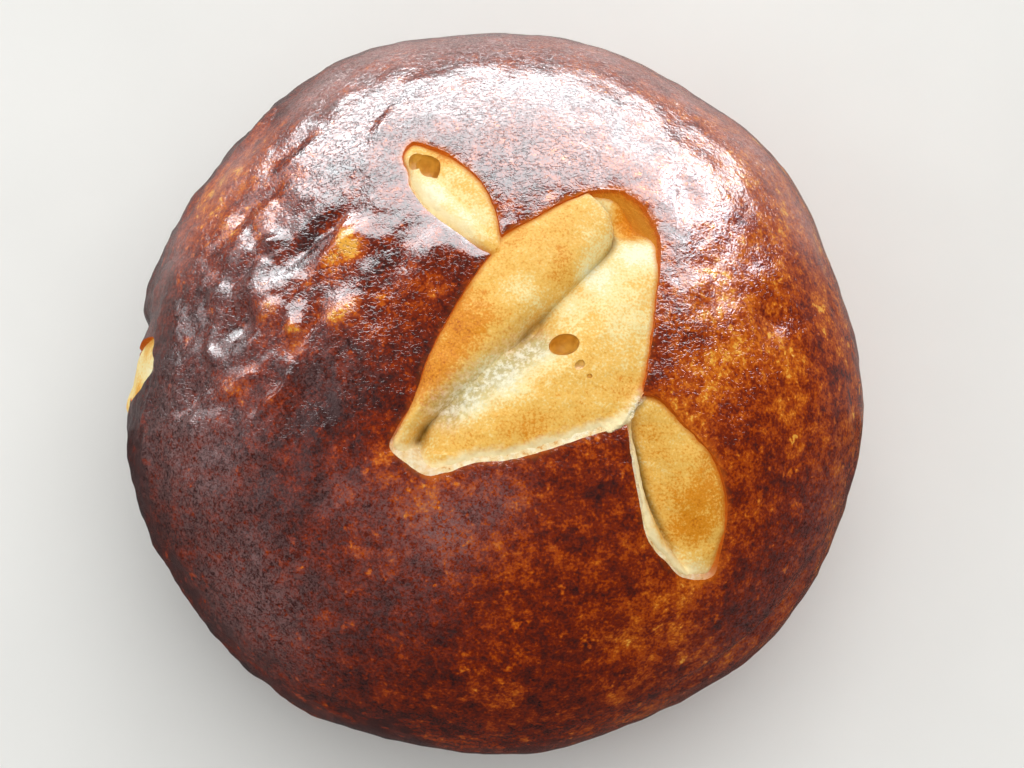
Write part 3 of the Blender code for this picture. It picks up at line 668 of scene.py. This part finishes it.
def ragged(rim, foot, share, rags):
    """The ring this share of the way from rim to foot, with its points pushed about along the way."""
    middle = rim + (foot - rim) * share
    along = np.roll(middle, -1, axis=0) - np.roll(middle, 1, axis=0)
    across = np.cross(middle, along)
    across /= np.linalg.norm(across, axis=1)[:, None]
    push = fractal(middle, RAG_LENGTH, 3) + BROAD_RAG_SHARE * fractal(middle, BROAD_RAG_LENGTH)
    return middle + across * (rags * push)[:, None]


def wedge(name, rim, foot, material):
    """A closed cutter along the rays of the dome points in rim, drawn in to foot between the lip and the crumb."""
    lip, waist, base = (
        ragged(rim, foot, share, rags)
        for share, rags in ((0, LIP_RAGS), (WEDGE_WAIST, FLANK_RAGS), (1, FLANK_RAGS))
    )
    rings = (
        HEART + lip * WEDGE_TOP,
        sunk(lip, LIP_ROLL),
        sunk(waist, LIP_ROLL + WEDGE_WAIST_SINK),
        sunk(base, FLANK_DEPTH),
        HEART + base * WEDGE_BOTTOM,
    )
    bm = bmesh.new()
    rows = [[bm.verts.new(point) for point in ring] for ring in rings]
    bm.faces.new(rows[0])
    bm.faces.new(reversed(rows[-1]))
    for upper, lower in zip(rows, rows[1:]):
        for number in range(len(upper)):
            bm.faces.new((upper[number - 1], upper[number], lower[number], lower[number - 1]))
    bmesh.ops.triangulate(bm, faces=bm.faces)
    return mesh_object(name, bm, material)


def bubble(name, place, material):
    """An ellipsoid cutter, sunk to its waist in the crumb."""
    x, y, along, across, depth = np.array(place[:5]) * MM
    dome = dome_from_plan(np.array([[x, y]]))
    outward = Vector(dome[0]).normalized()
    surface = sunk(dome, -crumb_relief(dome)[0])[0]
    bm = bmesh.new()
    bmesh.ops.create_uvsphere(bm, u_segments=BUBBLE_SEGMENTS, v_segments=BUBBLE_RINGS, radius=1)
    facing = Vector((0, 0, 1)).rotation_difference(outward).to_matrix().to_4x4()
    turned = Matrix.Rotation(math.radians(place[5]), 4, "Z")
    sized = Matrix.Diagonal((along, across, depth, 1))
    bm.transform(Matrix.Translation(surface) @ facing @ turned @ sized)
    return mesh_object(name, bm, material)


def drop_slivers(mesh):
    """Closes up the slivers that cutting leaves along the cut edges, and drops the fins left over.

    The shells are closed, so a face with an open edge is a fin.
    """
    bm = bmesh.new()
    bm.from_mesh(mesh)
    bmesh.ops.remove_doubles(bm, verts=bm.verts, dist=SLIVER)
    bmesh.ops.dissolve_degenerate(bm, edges=bm.edges, dist=SLIVER)
    bmesh.ops.triangulate(bm, faces=bm.faces)
    fins = [face for face in bm.faces if any(edge.is_boundary for edge in face.edges)]
    bmesh.ops.delete(bm, geom=fins, context="FACES")
    bm.to_mesh(mesh)
    bm.free()


def cut_away(target, cutters):
    """Cuts the cutters from the target, applies the cuts and removes the cutters."""
    for cutter in cutters:
        modifier = target.modifiers.new(cutter.name, "BOOLEAN")
        modifier.operation = "DIFFERENCE"
        modifier.solver = "EXACT"
        modifier.material_mode = "TRANSFER"
        modifier.object = cutter
    graph = bpy.context.evaluated_depsgraph_get()
    cut = bpy.data.meshes.new_from_object(target.evaluated_get(graph))
    target.modifiers.clear()
    target.data = cut
    for cutter in cutters:
        bpy.data.objects.remove(cutter)
    drop_slivers(cut)
    cut.set_sharp_from_angle(angle=SHARP_ANGLE)


def vertex_points(mesh):
    flat = np.zeros(len(mesh.vertices) * 3, np.float32)
    mesh.vertices.foreach_get("co", flat)
    return flat.reshape(-1, 3).astype(float)


def set_attribute(mesh, name, values):
    attribute = mesh.attributes.new(name, "FLOAT", "POINT")
    attribute.data.foreach_set("value", np.asarray(values, np.float32))


def painted(dome, level, patches):
    """The level, painted over by soft round patches in order."""
    centres = dome_from_plan(np.array([patch[:2] for patch in patches]) * MM)
    for centre, (_, _, radius, wanted, share) in zip(centres, patches):
        cover = share * np.exp(-((dome - centre) ** 2).sum(axis=1) / (radius * MM) ** 2)
        level = level + (wanted - level) * cover
    return level


def to_one(patches):
    """Patches that are painted to 1, each at its own strength."""
    return [(x, y, radius, 1, strength) for x, y, radius, strength in patches]


def edge_distance(distance, upper):
    """Distances in millimetres, none below 0, and the farthest where there is no edge to measure to."""
    return np.where(upper, np.clip(distance, 0, EDGE_FARTHEST), EDGE_FARTHEST) / MM


def paint_crust(mesh):
    points = vertex_points(mesh)
    dome = on_dome(points)
    inside, flank, _, _, _ = opening_at(dome[:, :2])
    uneven = warped(dome, PATCH_WARP_LENGTH, PATCH_WARP)
    start = BAKE_AT_MIDDLE + BAKE_PER_MM * dome[:, 0] / MM
    wrinkled = [(x, y, radius, level, 1) for x, y, radius, level in WRINKLED_PATCHES]
    set_attribute(mesh, "bake", painted(uneven, start, BAKE_PATCHES))
    # film is a greyish film on the crust, partly painted sheen.
    set_attribute(mesh, "film_and_sheen", painted(uneven, FILM_AND_SHEEN_SHARE, to_one(FILM_AND_SHEEN_PATCHES)))
    # pale paints a reflection of the bright floor and window into the crust's colour.
    set_attribute(mesh, "pale", painted(uneven, 0, to_one(PAINTED_REFLECTION_PATCHES)))
    set_attribute(mesh, "wrinkled", painted(uneven, WRINKLED_SHARE, wrinkled))
    set_attribute(mesh, "glow", painted(dome, GLOW_SHARE, to_one(GLOW_PATCHES)))
    set_attribute(mesh, "outside", edge_distance(-inside, dome[:, 2] > 0))
    set_attribute(mesh, "torn", torn_share(flank))
    sink = np.linalg.norm(dome, axis=1) - np.linalg.norm(points - HEART, axis=1)
    set_attribute(mesh, "sink", sink / MM)


def paint_crumb(mesh):
    dome = on_dome(vertex_points(mesh))
    inside, flank, to_crease, depth, _ = opening_at(dome[:, :2])
    uneven = warped(dome, PATCH_WARP_LENGTH, PATCH_WARP / 2)
    set_attribute(mesh, "toast", painted(uneven, CRUMB_TOAST, TOAST_PATCHES))
    set_attribute(mesh, "to_edge", edge_distance(inside, dome[:, 2] > CRUMB_TOP))
    set_attribute(mesh, "torn", torn_share(flank))
    deep = np.clip(depth / CREASE_DARK_DEPTH - CREASE_DARK_START, 0, 1)
    # Painted shade along the deep creases.
    set_attribute(mesh, "crease_shadow", deep * np.exp(-((to_crease / CREASE_SHADE) ** 2)))
    trough = near_line(dome[:, :2], TROUGH, TROUGH_HALF_WIDTH)
    spur = near_line(dome[:, :2], SPUR, SPUR_HALF_WIDTH)
    set_attribute(mesh, "raw", np.maximum(trough, spur))


# ---- Materials ----


def new_material(name):
    made = bpy.data.materials.new(name)
    made.use_nodes = True
    return made, made.node_tree, made.node_tree.nodes["Principled BSDF"]


def set_inputs(tree, made, inputs):
    """Sets a node's inputs, by name or number, to values or links them to sockets."""
    for name, value in inputs.items():
        if isinstance(value, bpy.types.NodeSocket):
            tree.links.new(value, made.inputs[name])
        else:
            made.inputs[name].default_value = value


def node(tree, kind, inputs, **settings):
    made = tree.nodes.new("ShaderNode" + kind)
    for name, value in settings.items():
        setattr(made, name, value)
    set_inputs(tree, made, inputs)
    return made


def calculate(tree, operation, first, second=0.0, third=0.0):
    return node(tree, "Math", {0: first, 1: second, 2: third}, operation=operation).outputs[0]


def millimetres(tree):
    """The place on the bun, in millimetres."""
    place = tree.nodes.new("ShaderNodeTexCoord").outputs["Object"]
    return node(tree, "VectorMath", {0: place, "Scale": 1000.0}, operation="SCALE").outputs[0]


def noise_of(tree, place, length, detail=2.0, roughness=0.5, distortion=0.0):
    """Noise from 0 to 1 with features about length millimetres long."""
    inputs = {
        "Vector": place, "Scale": 1 / length, "Detail": detail, "Roughness": roughness, "Distortion": distortion
    }
    return node(tree, "TexNoise", inputs).outputs["Fac"]


def swing(tree, value, amount):
    """A 0 to 1 value turned into one from -amount to amount."""
    return calculate(tree, "MULTIPLY_ADD", value, 2 * amount, -amount)


def add_noises(tree, value, place, noises):
    """The value with noises added, each given as its length in millimetres and its amount."""
    for length, amount in noises:
        value = calculate(tree, "ADD", value, swing(tree, noise_of(tree, place, length, 3), amount))
    return value


def attribute(tree, name):
    return node(tree, "Attribute", {}, attribute_name=name).outputs["Fac"]


def ramp(tree, value, stops):
    made = node(tree, "ValToRGB", {"Fac": value})
    made.color_ramp.interpolation = "EASE"
    elements = made.color_ramp.elements
    while len(elements) < len(stops):
        elements.new(1)
    for element, (position, colour) in zip(elements, stops):
        element.position = position
        element.color = colour
    return made.outputs["Color"]


def between(tree, value, low, high):
    """0 below low, 1 above high and a soft step between."""
    inputs = {"Value": value, "From Min": low, "From Max": high}
    return node(tree, "MapRange", inputs, interpolation_type="SMOOTHSTEP").outputs[0]


def mix_colours(tree, share, first, second):
    return node(tree, "Mix", {0: share, 6: first, 7: second}, data_type="RGBA").outputs[2]


def add_bump(tree, shader, height):
    """Bumps whose height is in millimetres."""
    bump = node(tree, "Bump", {"Height": height, "Distance": MM, "Strength": 1.0})
    tree.links.new(bump.outputs["Normal"], shader.inputs["Normal"])


CRUST_TONES = (
    (0.0, srgb(246, 176, 66)),
    (0.2, srgb(214, 110, 22)),
    (0.4, srgb(172, 68, 10)),
    (0.6, srgb(124, 38, 10)),
    (0.8, srgb(88, 30, 18)),
    (1.0, srgb(54, 26, 24)),
)
# A greyish film, partly painted sheen.
FILM_AND_SHEEN_TONE = srgb(140, 106, 104)
# Painted reflection on the glaze towards the +Y rim.
PAINTED_REFLECTION_TONE = srgb(250, 212, 206)
# Painted shade in the fine grooves.
GROOVE_SHADE_TONE = srgb(40, 18, 20)
GLOW_TONE = srgb(214, 112, 22)
CRUMB_TONES = (
    (0.0, srgb(252, 247, 212)),
    (0.25, srgb(250, 228, 160)),
    (0.5, srgb(244, 192, 92)),
    (0.75, srgb(226, 144, 28)),
    (1.0, srgb(190, 100, 12)),
)
# Painted shade in the deep creases.
CREASE_SHADOW_TONE = srgb(124, 88, 24)
TROUGH_TONE = srgb(244, 240, 220)
TROUGH_SHADE = srgb(196, 180, 128)
FLANK_TONES = (
    (0.0, srgb(214, 150, 70)),
    (0.3, srgb(242, 214, 160)),
    (1.0, srgb(252, 240, 206)),
)
WALL_TONES = (
    (0.0, srgb(204, 100, 20)),
    (0.35, srgb(222, 136, 38)),
    (1.0, srgb(226, 152, 50)),
)
RIM_TONE = srgb(206, 118, 26)
BAND_TONE = srgb(250, 230, 178)
LINING_TONES = ((0.2, srgb(192, 130, 26)), (0.8, srgb(230, 176, 66)))
FLOOR_TONES = (srgb(232, 232, 229), srgb(240, 240, 237))
SHEEN_TONE = srgb(235, 215, 215)

# In these, lengths and heights are in millimetres, and a noise is (length, amount).
CRUST_NOISES = ((10, 0.3), (3.0, 0.42), (1.1, 0.4), (0.35, 0.42))
CRUMB_NOISES = ((3.5, 0.15), (1.1, 0.15), (0.3, 0.35))
WALL_NOISES = ((0.7, 0.3),)
FLECK_LENGTH, FLECK_BAKE = 1.8, -0.3
STROKE_LENGTH, STROKE_STRETCH = 0.55, (0.55, 1.0, 1.0)
STROKE_EDGE, STROKE_CORE = 0.13, 0.03
STROKE_BREAK_LENGTH = 0.5
# The first is how much painted shade the fine grooves take.
GROOVE_SHADE_SHARE, STROKE_DEPTH, STROKE_ROUGHNESS = 0.7, 0.06, 0.1
STREAK_LENGTH = 0.5
# The painted reflection keeps at least this share between its streaks.
PAINTED_REFLECTION_LEAST = 0.5
GLOW_RAG_LENGTH, GLOW_RAG, GLOW_LEAST = 1.4, 1.4, -0.4
CRUST_FINE_LENGTH, CRUST_FINE_HEIGHT = 0.3, 0.02
CRUST_BROAD_LENGTH, CRUST_BROAD_HEIGHT = 0.9, 0.06
SMOOTH_HEIGHTS, WRINKLED_HEIGHTS = 0.7, 1.2
GLAZE_PATCH_LENGTH, GLAZE_ROUGHNESS, FILM_ROUGHNESS = 5, 0.2, 0.12
TORN_LENGTH, TORN_HEIGHT = 0.6, 0.35
RAW_SHARE = 0.85
RIM_REACH, RIM_SHARE = 0.9, 0.8
BAND_RAG_LENGTH, BAND_RAG, BAND_LEAST = 1.0, 1.6, 0.4
CRUMB_FINE_LENGTH, CRUMB_FINE_HEIGHT = 0.35, 0.1
CRUMB_BROAD_LENGTH, CRUMB_BROAD_HEIGHT = 1.8, 0.15
LINING_LENGTH, LINING_HEIGHT = 0.5, 0.1
FLOOR_LENGTH = 30


def fine_strokes(tree, place):
    """Short fine grooves that run round the bun."""
    drawn_out = node(tree, "VectorMath", {0: place, 1: STROKE_STRETCH}, operation="MULTIPLY").outputs[0]
    lines = calculate(tree, "ABSOLUTE", swing(tree, noise_of(tree, drawn_out, STROKE_LENGTH, 1, 0.5, 0.6), 1.0))
    breaks = between(tree, noise_of(tree, place, STROKE_BREAK_LENGTH, 1), 0.42, 0.5)
    return calculate(tree, "MULTIPLY", between(tree, lines, STROKE_EDGE, STROKE_CORE), breaks)


def crust_material():
    material, tree, shader = new_material("glazed_crust")
    place = millimetres(tree)
    bake = add_noises(tree, attribute(tree, "bake"), place, CRUST_NOISES)
    flecks = between(tree, noise_of(tree, place, FLECK_LENGTH, 2, 0.6), 0.62, 0.72)
    bake = calculate(tree, "MULTIPLY_ADD", flecks, FLECK_BAKE, bake)
    colour = ramp(tree, bake, CRUST_TONES)
    wrinkled = attribute(tree, "wrinkled")
    strokes = calculate(tree, "MULTIPLY", fine_strokes(tree, place), wrinkled)
    # Painted shade: the fine grooves darkened.
    colour = mix_colours(tree, calculate(tree, "MULTIPLY", strokes, GROOVE_SHADE_SHARE), colour, GROOVE_SHADE_TONE)
    streaks = between(tree, noise_of(tree, place, STREAK_LENGTH, 4, 0.7, 1.2), 0.36, 0.64)
    # The greyish film in streaks, partly painted sheen.
    film_and_sheen = calculate(tree, "MULTIPLY", attribute(tree, "film_and_sheen"), streaks)
    colour = mix_colours(tree, film_and_sheen, colour, FILM_AND_SHEEN_TONE)
    # Painted reflection, in streaks: the crust's colour turned pale towards the +Y rim.
    streaked = calculate(tree, "MULTIPLY_ADD", streaks, 1 - PAINTED_REFLECTION_LEAST, PAINTED_REFLECTION_LEAST)
    pale = calculate(tree, "MULTIPLY", attribute(tree, "pale"), streaked)
    colour = mix_colours(tree, pale, colour, PAINTED_REFLECTION_TONE)
    reach = calculate(tree, "MULTIPLY_ADD", noise_of(tree, place, GLOW_RAG_LENGTH, 3), GLOW_RAG, GLOW_LEAST)
    glow = between(tree, calculate(tree, "SUBTRACT", attribute(tree, "outside"), reach), 0.5, -0.5)
    glow = calculate(tree, "MULTIPLY", glow, attribute(tree, "glow"))
    colour = mix_colours(tree, glow, colour, GLOW_TONE)

    fine = noise_of(tree, place, CRUST_FINE_LENGTH, 1, 0.5, 0.4)
    broad = noise_of(tree, place, CRUST_BROAD_LENGTH, 2, 0.5, 0.5)
    height = calculate(tree, "MULTIPLY", fine, CRUST_FINE_HEIGHT)
    height = calculate(tree, "MULTIPLY_ADD", broad, CRUST_BROAD_HEIGHT, height)
    more = calculate(tree, "MULTIPLY_ADD", wrinkled, WRINKLED_HEIGHTS, SMOOTH_HEIGHTS)
    height = calculate(tree, "MULTIPLY", height, more)
    add_bump(tree, shader, calculate(tree, "MULTIPLY_ADD", strokes, -STROKE_DEPTH, height))
    patches = noise_of(tree, place, GLAZE_PATCH_LENGTH, 5, 0.6)
    rough = calculate(tree, "MULTIPLY", patches, GLAZE_ROUGHNESS)
    rough = calculate(tree, "MULTIPLY_ADD", strokes, STROKE_ROUGHNESS, rough)
    rough = calculate(tree, "MULTIPLY_ADD", film_and_sheen, FILM_ROUGHNESS, rough)
    sheen = {"Sheen Weight": 0.03, "Sheen Tint": SHEEN_TONE, "Sheen Roughness": 0.4}
    set_inputs(tree, shader, {"Base Color": colour, "Roughness": rough, "Specular IOR Level": 0.5, **sheen})
    return material


def flank_material():
    """The torn flanks: cream and rough where they are wide, brown to gold where they are a thin line."""
    material, tree, shader = new_material("torn_flank")
    place = millimetres(tree)
    pale = between(tree, noise_of(tree, place, 0.8, 4), 0.2, 0.75)
    deep = between(tree, attribute(tree, "sink"), 0.3, 1.8)
    wall = ramp(tree, add_noises(tree, deep, place, WALL_NOISES), WALL_TONES)
    colour = mix_colours(tree, attribute(tree, "torn"), wall, ramp(tree, pale, FLANK_TONES))
    set_inputs(tree, shader, {"Base Color": colour, "Roughness": 0.85, "Specular IOR Level": 0.1})
    add_bump(tree, shader, calculate(tree, "MULTIPLY", noise_of(tree, place, TORN_LENGTH, 4, 0.6), TORN_HEIGHT))
    return material


def crumb_material():
    material, tree, shader = new_material("pale_crumb")
    place = millimetres(tree)
    colour = ramp(tree, add_noises(tree, attribute(tree, "toast"), place, CRUMB_NOISES), CRUMB_TONES)
    grain = between(tree, noise_of(tree, place, 0.7, 4, 0.7), 0.42, 0.6)
    raw = mix_colours(tree, grain, TROUGH_SHADE, TROUGH_TONE)
    colour = mix_colours(tree, calculate(tree, "MULTIPLY", attribute(tree, "raw"), RAW_SHARE), colour, raw)
    # Painted shade in the deep creases.
    colour = mix_colours(tree, attribute(tree, "crease_shadow"), colour, CREASE_SHADOW_TONE)
    torn = attribute(tree, "torn")
    rim = between(tree, attribute(tree, "to_edge"), RIM_REACH, 0.0)
    rim = calculate(tree, "MULTIPLY", rim, calculate(tree, "SUBTRACT", RIM_SHARE, torn))
    colour = mix_colours(tree, rim, colour, RIM_TONE)
    reach = calculate(tree, "MULTIPLY_ADD", noise_of(tree, place, BAND_RAG_LENGTH, 4), BAND_RAG, BAND_LEAST)
    band = between(tree, calculate(tree, "SUBTRACT", attribute(tree, "to_edge"), reach), 0.9, -0.5)
    colour = mix_colours(tree, calculate(tree, "MULTIPLY", band, torn), colour, BAND_TONE)
    set_inputs(tree, shader, {"Base Color": colour, "Roughness": 0.7, "Specular IOR Level": 0.1})
    height = calculate(tree, "MULTIPLY", noise_of(tree, place, CRUMB_FINE_LENGTH, 3, 0.6), CRUMB_FINE_HEIGHT)
    broad = noise_of(tree, place, CRUMB_BROAD_LENGTH, 3)
    add_bump(tree, shader, calculate(tree, "MULTIPLY_ADD", broad, CRUMB_BROAD_HEIGHT, height))
    return material


def lining_material():
    """The golden skin inside the gas bubbles."""
    material, tree, shader = new_material("bubble_lining")
    place = millimetres(tree)
    colour = ramp(tree, noise_of(tree, place, 1.2, 3), LINING_TONES)
    set_inputs(tree, shader, {"Base Color": colour, "Roughness": 0.5})
    add_bump(tree, shader, calculate(tree, "MULTIPLY", noise_of(tree, place, LINING_LENGTH, 3), LINING_HEIGHT))
    return material


def floor_material():
    material, tree, shader = new_material("pale_floor")
    colour = mix_colours(tree, noise_of(tree, millimetres(tree), FLOOR_LENGTH, 4), *FLOOR_TONES)
    set_inputs(tree, shader, {"Base Color": colour, "Roughness": 0.7, "Specular IOR Level": 0.0})
    return material


# ---- The bun ----


def make_crust():
    flank = flank_material()
    areas = (crag_area, lip_band, fine_lip_band)
    crust = swollen_sphere("crust", crust_relief, 0, CRUST_CUTS, areas, crust_material())
    cuts = [(dome_from_plan(edge[:, :2]), dome_from_plan(flank_foot(edge))) for edge in EDGES]
    burst = burst_rim()
    cuts.append((burst, burst))
    cut_away(crust, [wedge(f"wedge_{number}", *cut, flank) for number, cut in enumerate(cuts)])
    paint_crust(crust.data)
    return crust


def make_crumb():
    material = crumb_material()
    lining = lining_material()
    crumb = swollen_sphere("crumb", crumb_relief, BURIED_FLOOR, CRUMB_CUTS, (openings,) * 3, material)
    cut_away(crumb, [bubble(f"bubble_{number}", place, lining) for number, place in enumerate(BUBBLES)])
    paint_crumb(crumb.data)
    return crumb


def place_on_solid(pieces):
    """Moves the pieces together, across but not up or down, into the middle of the solid's box. The shift is
    returned.
    """
    low, high = (Vector(corner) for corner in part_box("pretzel_bun"))
    points = np.vstack([vertex_points(piece.data) for piece in pieces])
    shift = (low + high) / 2 - Vector((points.min(axis=0) + points.max(axis=0)) / 2)
    shift.z = 0
    for piece in pieces:
        piece.location = shift
    return shift


crust = make_crust()
crumb = make_crumb()
SHIFT = place_on_solid((crust, crumb))
for piece in (crust, crumb):
    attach(piece, "root")
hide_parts("pretzel_bun")

# ---- The stage ----

CAMERA_AIM = Vector((2.3, 1.02, 24)) * MM + SHIFT
CAMERA_ELEVATION = math.radians(77)
CAMERA_DISTANCE = 310 * MM
CAMERA_LENS = 79.5
CAMERA_CLIP_START = 0.01
FLOOR_SIZE = 6.0
# Rectangular lights that face the bun: (name, place, size, power, colour). The first give only gloss and the
# second only shading.
LIGHTS_AIM = (0, 0, 0.03)
GLOSS_LIGHTS = (
    ("window", (0.08, 0.85, 0.45), (1.9, 1.15), 96, (0.9, 0.97, 1.0)),
    ("window_right", (0.70, 0.66, 0.36), (0.34, 0.36), 5.5, (0.86, 0.9, 1.0)),
    ("window_left", (-0.75, 0.7, 0.3), (0.9, 0.5), 5, (0.95, 0.97, 1.0)),
    ("sky_left", (-1.2, 0.1, 0.6), (1.2, 1.2), 2.2, (0.9, 0.92, 1.0)),
    ("low_window", (0.15, 1.2, 0.14), (2.4, 0.3), 14, (0.95, 0.96, 1.0)),
)
SHADING_LIGHTS = (
    ("bounce_back", (0.15, 0.9, 0.3), (1.2, 0.4), 3, (1.0, 0.98, 0.97)),
    ("bounce_left", (-0.9, 0.0, 0.25), (0.6, 0.6), 3, (1.0, 1.0, 0.99)),
    ("daylight", (0.25, 0.35, 1.1), (1.2, 1.2), 6.0, (1.0, 1.0, 0.99)),
    ("ceiling", (0.0, -0.1, 1.3), (2.6, 2.6), 20, (1.0, 1.0, 0.99)),
)
# The bright floor behind the bun, as the glaze towards +Y mirrors it: lights that lie on it and face up. They
# overlap, so that their near edge is soft.
LIT_FLOOR_STARTS = (0.0, 0.02, 0.04, 0.06)
LIT_FLOOR_END = 0.96
LIT_FLOOR_X, LIT_FLOOR_WIDTH, LIT_FLOOR_HEIGHT = 0.05, 1.4, 0.002
LIT_FLOOR_POWER = 0.7
LIT_FLOOR_COLOUR = (1, 0.97, 0.95)
WORLD_COLOUR = (0.95, 0.97, 1.0, 1)
WORLD_STRENGTH = 0.04


def add_camera():
    camera = bpy.data.objects.new("camera", bpy.data.cameras.new("camera"))
    bpy.context.scene.collection.objects.link(camera)
    back = Vector((0, -math.cos(CAMERA_ELEVATION), math.sin(CAMERA_ELEVATION)))
    camera.location = CAMERA_AIM + back * CAMERA_DISTANCE
    camera.rotation_euler = (-back).to_track_quat("-Z", "Y").to_euler()
    camera.data.lens = CAMERA_LENS
    camera.data.clip_start = CAMERA_CLIP_START
    bpy.context.scene.camera = camera


def add_floor():
    bm = bmesh.new()
    bmesh.ops.create_grid(bm, x_segments=2, y_segments=2, size=FLOOR_SIZE / 2)
    floor = mesh_object("floor", bm, floor_material())
    floor.visible_glossy = False


def add_area_light(name, place, size, power, colour, seen_as, aim=LIGHTS_AIM):
    """A rectangular light that faces aim and gives only shading or only gloss, as seen_as says."""
    light = bpy.data.lights.new(name, "AREA")
    light.shape = "RECTANGLE"
    light.size, light.size_y = size
    light.energy = power
    light.color = colour
    lamp = bpy.data.objects.new(name, light)
    bpy.context.scene.collection.objects.link(lamp)
    lamp.location = place
    lamp.rotation_euler = (Vector(aim) - Vector(place)).to_track_quat("-Z", "Y").to_euler()
    lamp.visible_camera = False
    lamp.visible_glossy = seen_as == "gloss"
    lamp.visible_diffuse = seen_as == "shading"


def add_lights():
    world = bpy.data.worlds.new("studio")
    world.use_nodes = True
    background = world.node_tree.nodes["Background"]
    background.inputs["Color"].default_value = WORLD_COLOUR
    background.inputs["Strength"].default_value = WORLD_STRENGTH
    bpy.context.scene.world = world
    for row in GLOSS_LIGHTS:
        add_area_light(*row, "gloss")
    for number, start in enumerate(LIT_FLOOR_STARTS):
        depth = LIT_FLOOR_END - start
        middle = (LIT_FLOOR_X, start + depth / 2)
        add_area_light(
            f"lit_floor_{number}", (*middle, LIT_FLOOR_HEIGHT), (LIT_FLOOR_WIDTH, depth), LIT_FLOOR_POWER * depth,
            LIT_FLOOR_COLOUR, "gloss", aim=(*middle, 1),
        )
    for row in SHADING_LIGHTS:
        add_area_light(*row, "shading")


add_camera()
add_floor()
add_lights()
bpy.context.scene.view_settings.view_transform = "Standard"
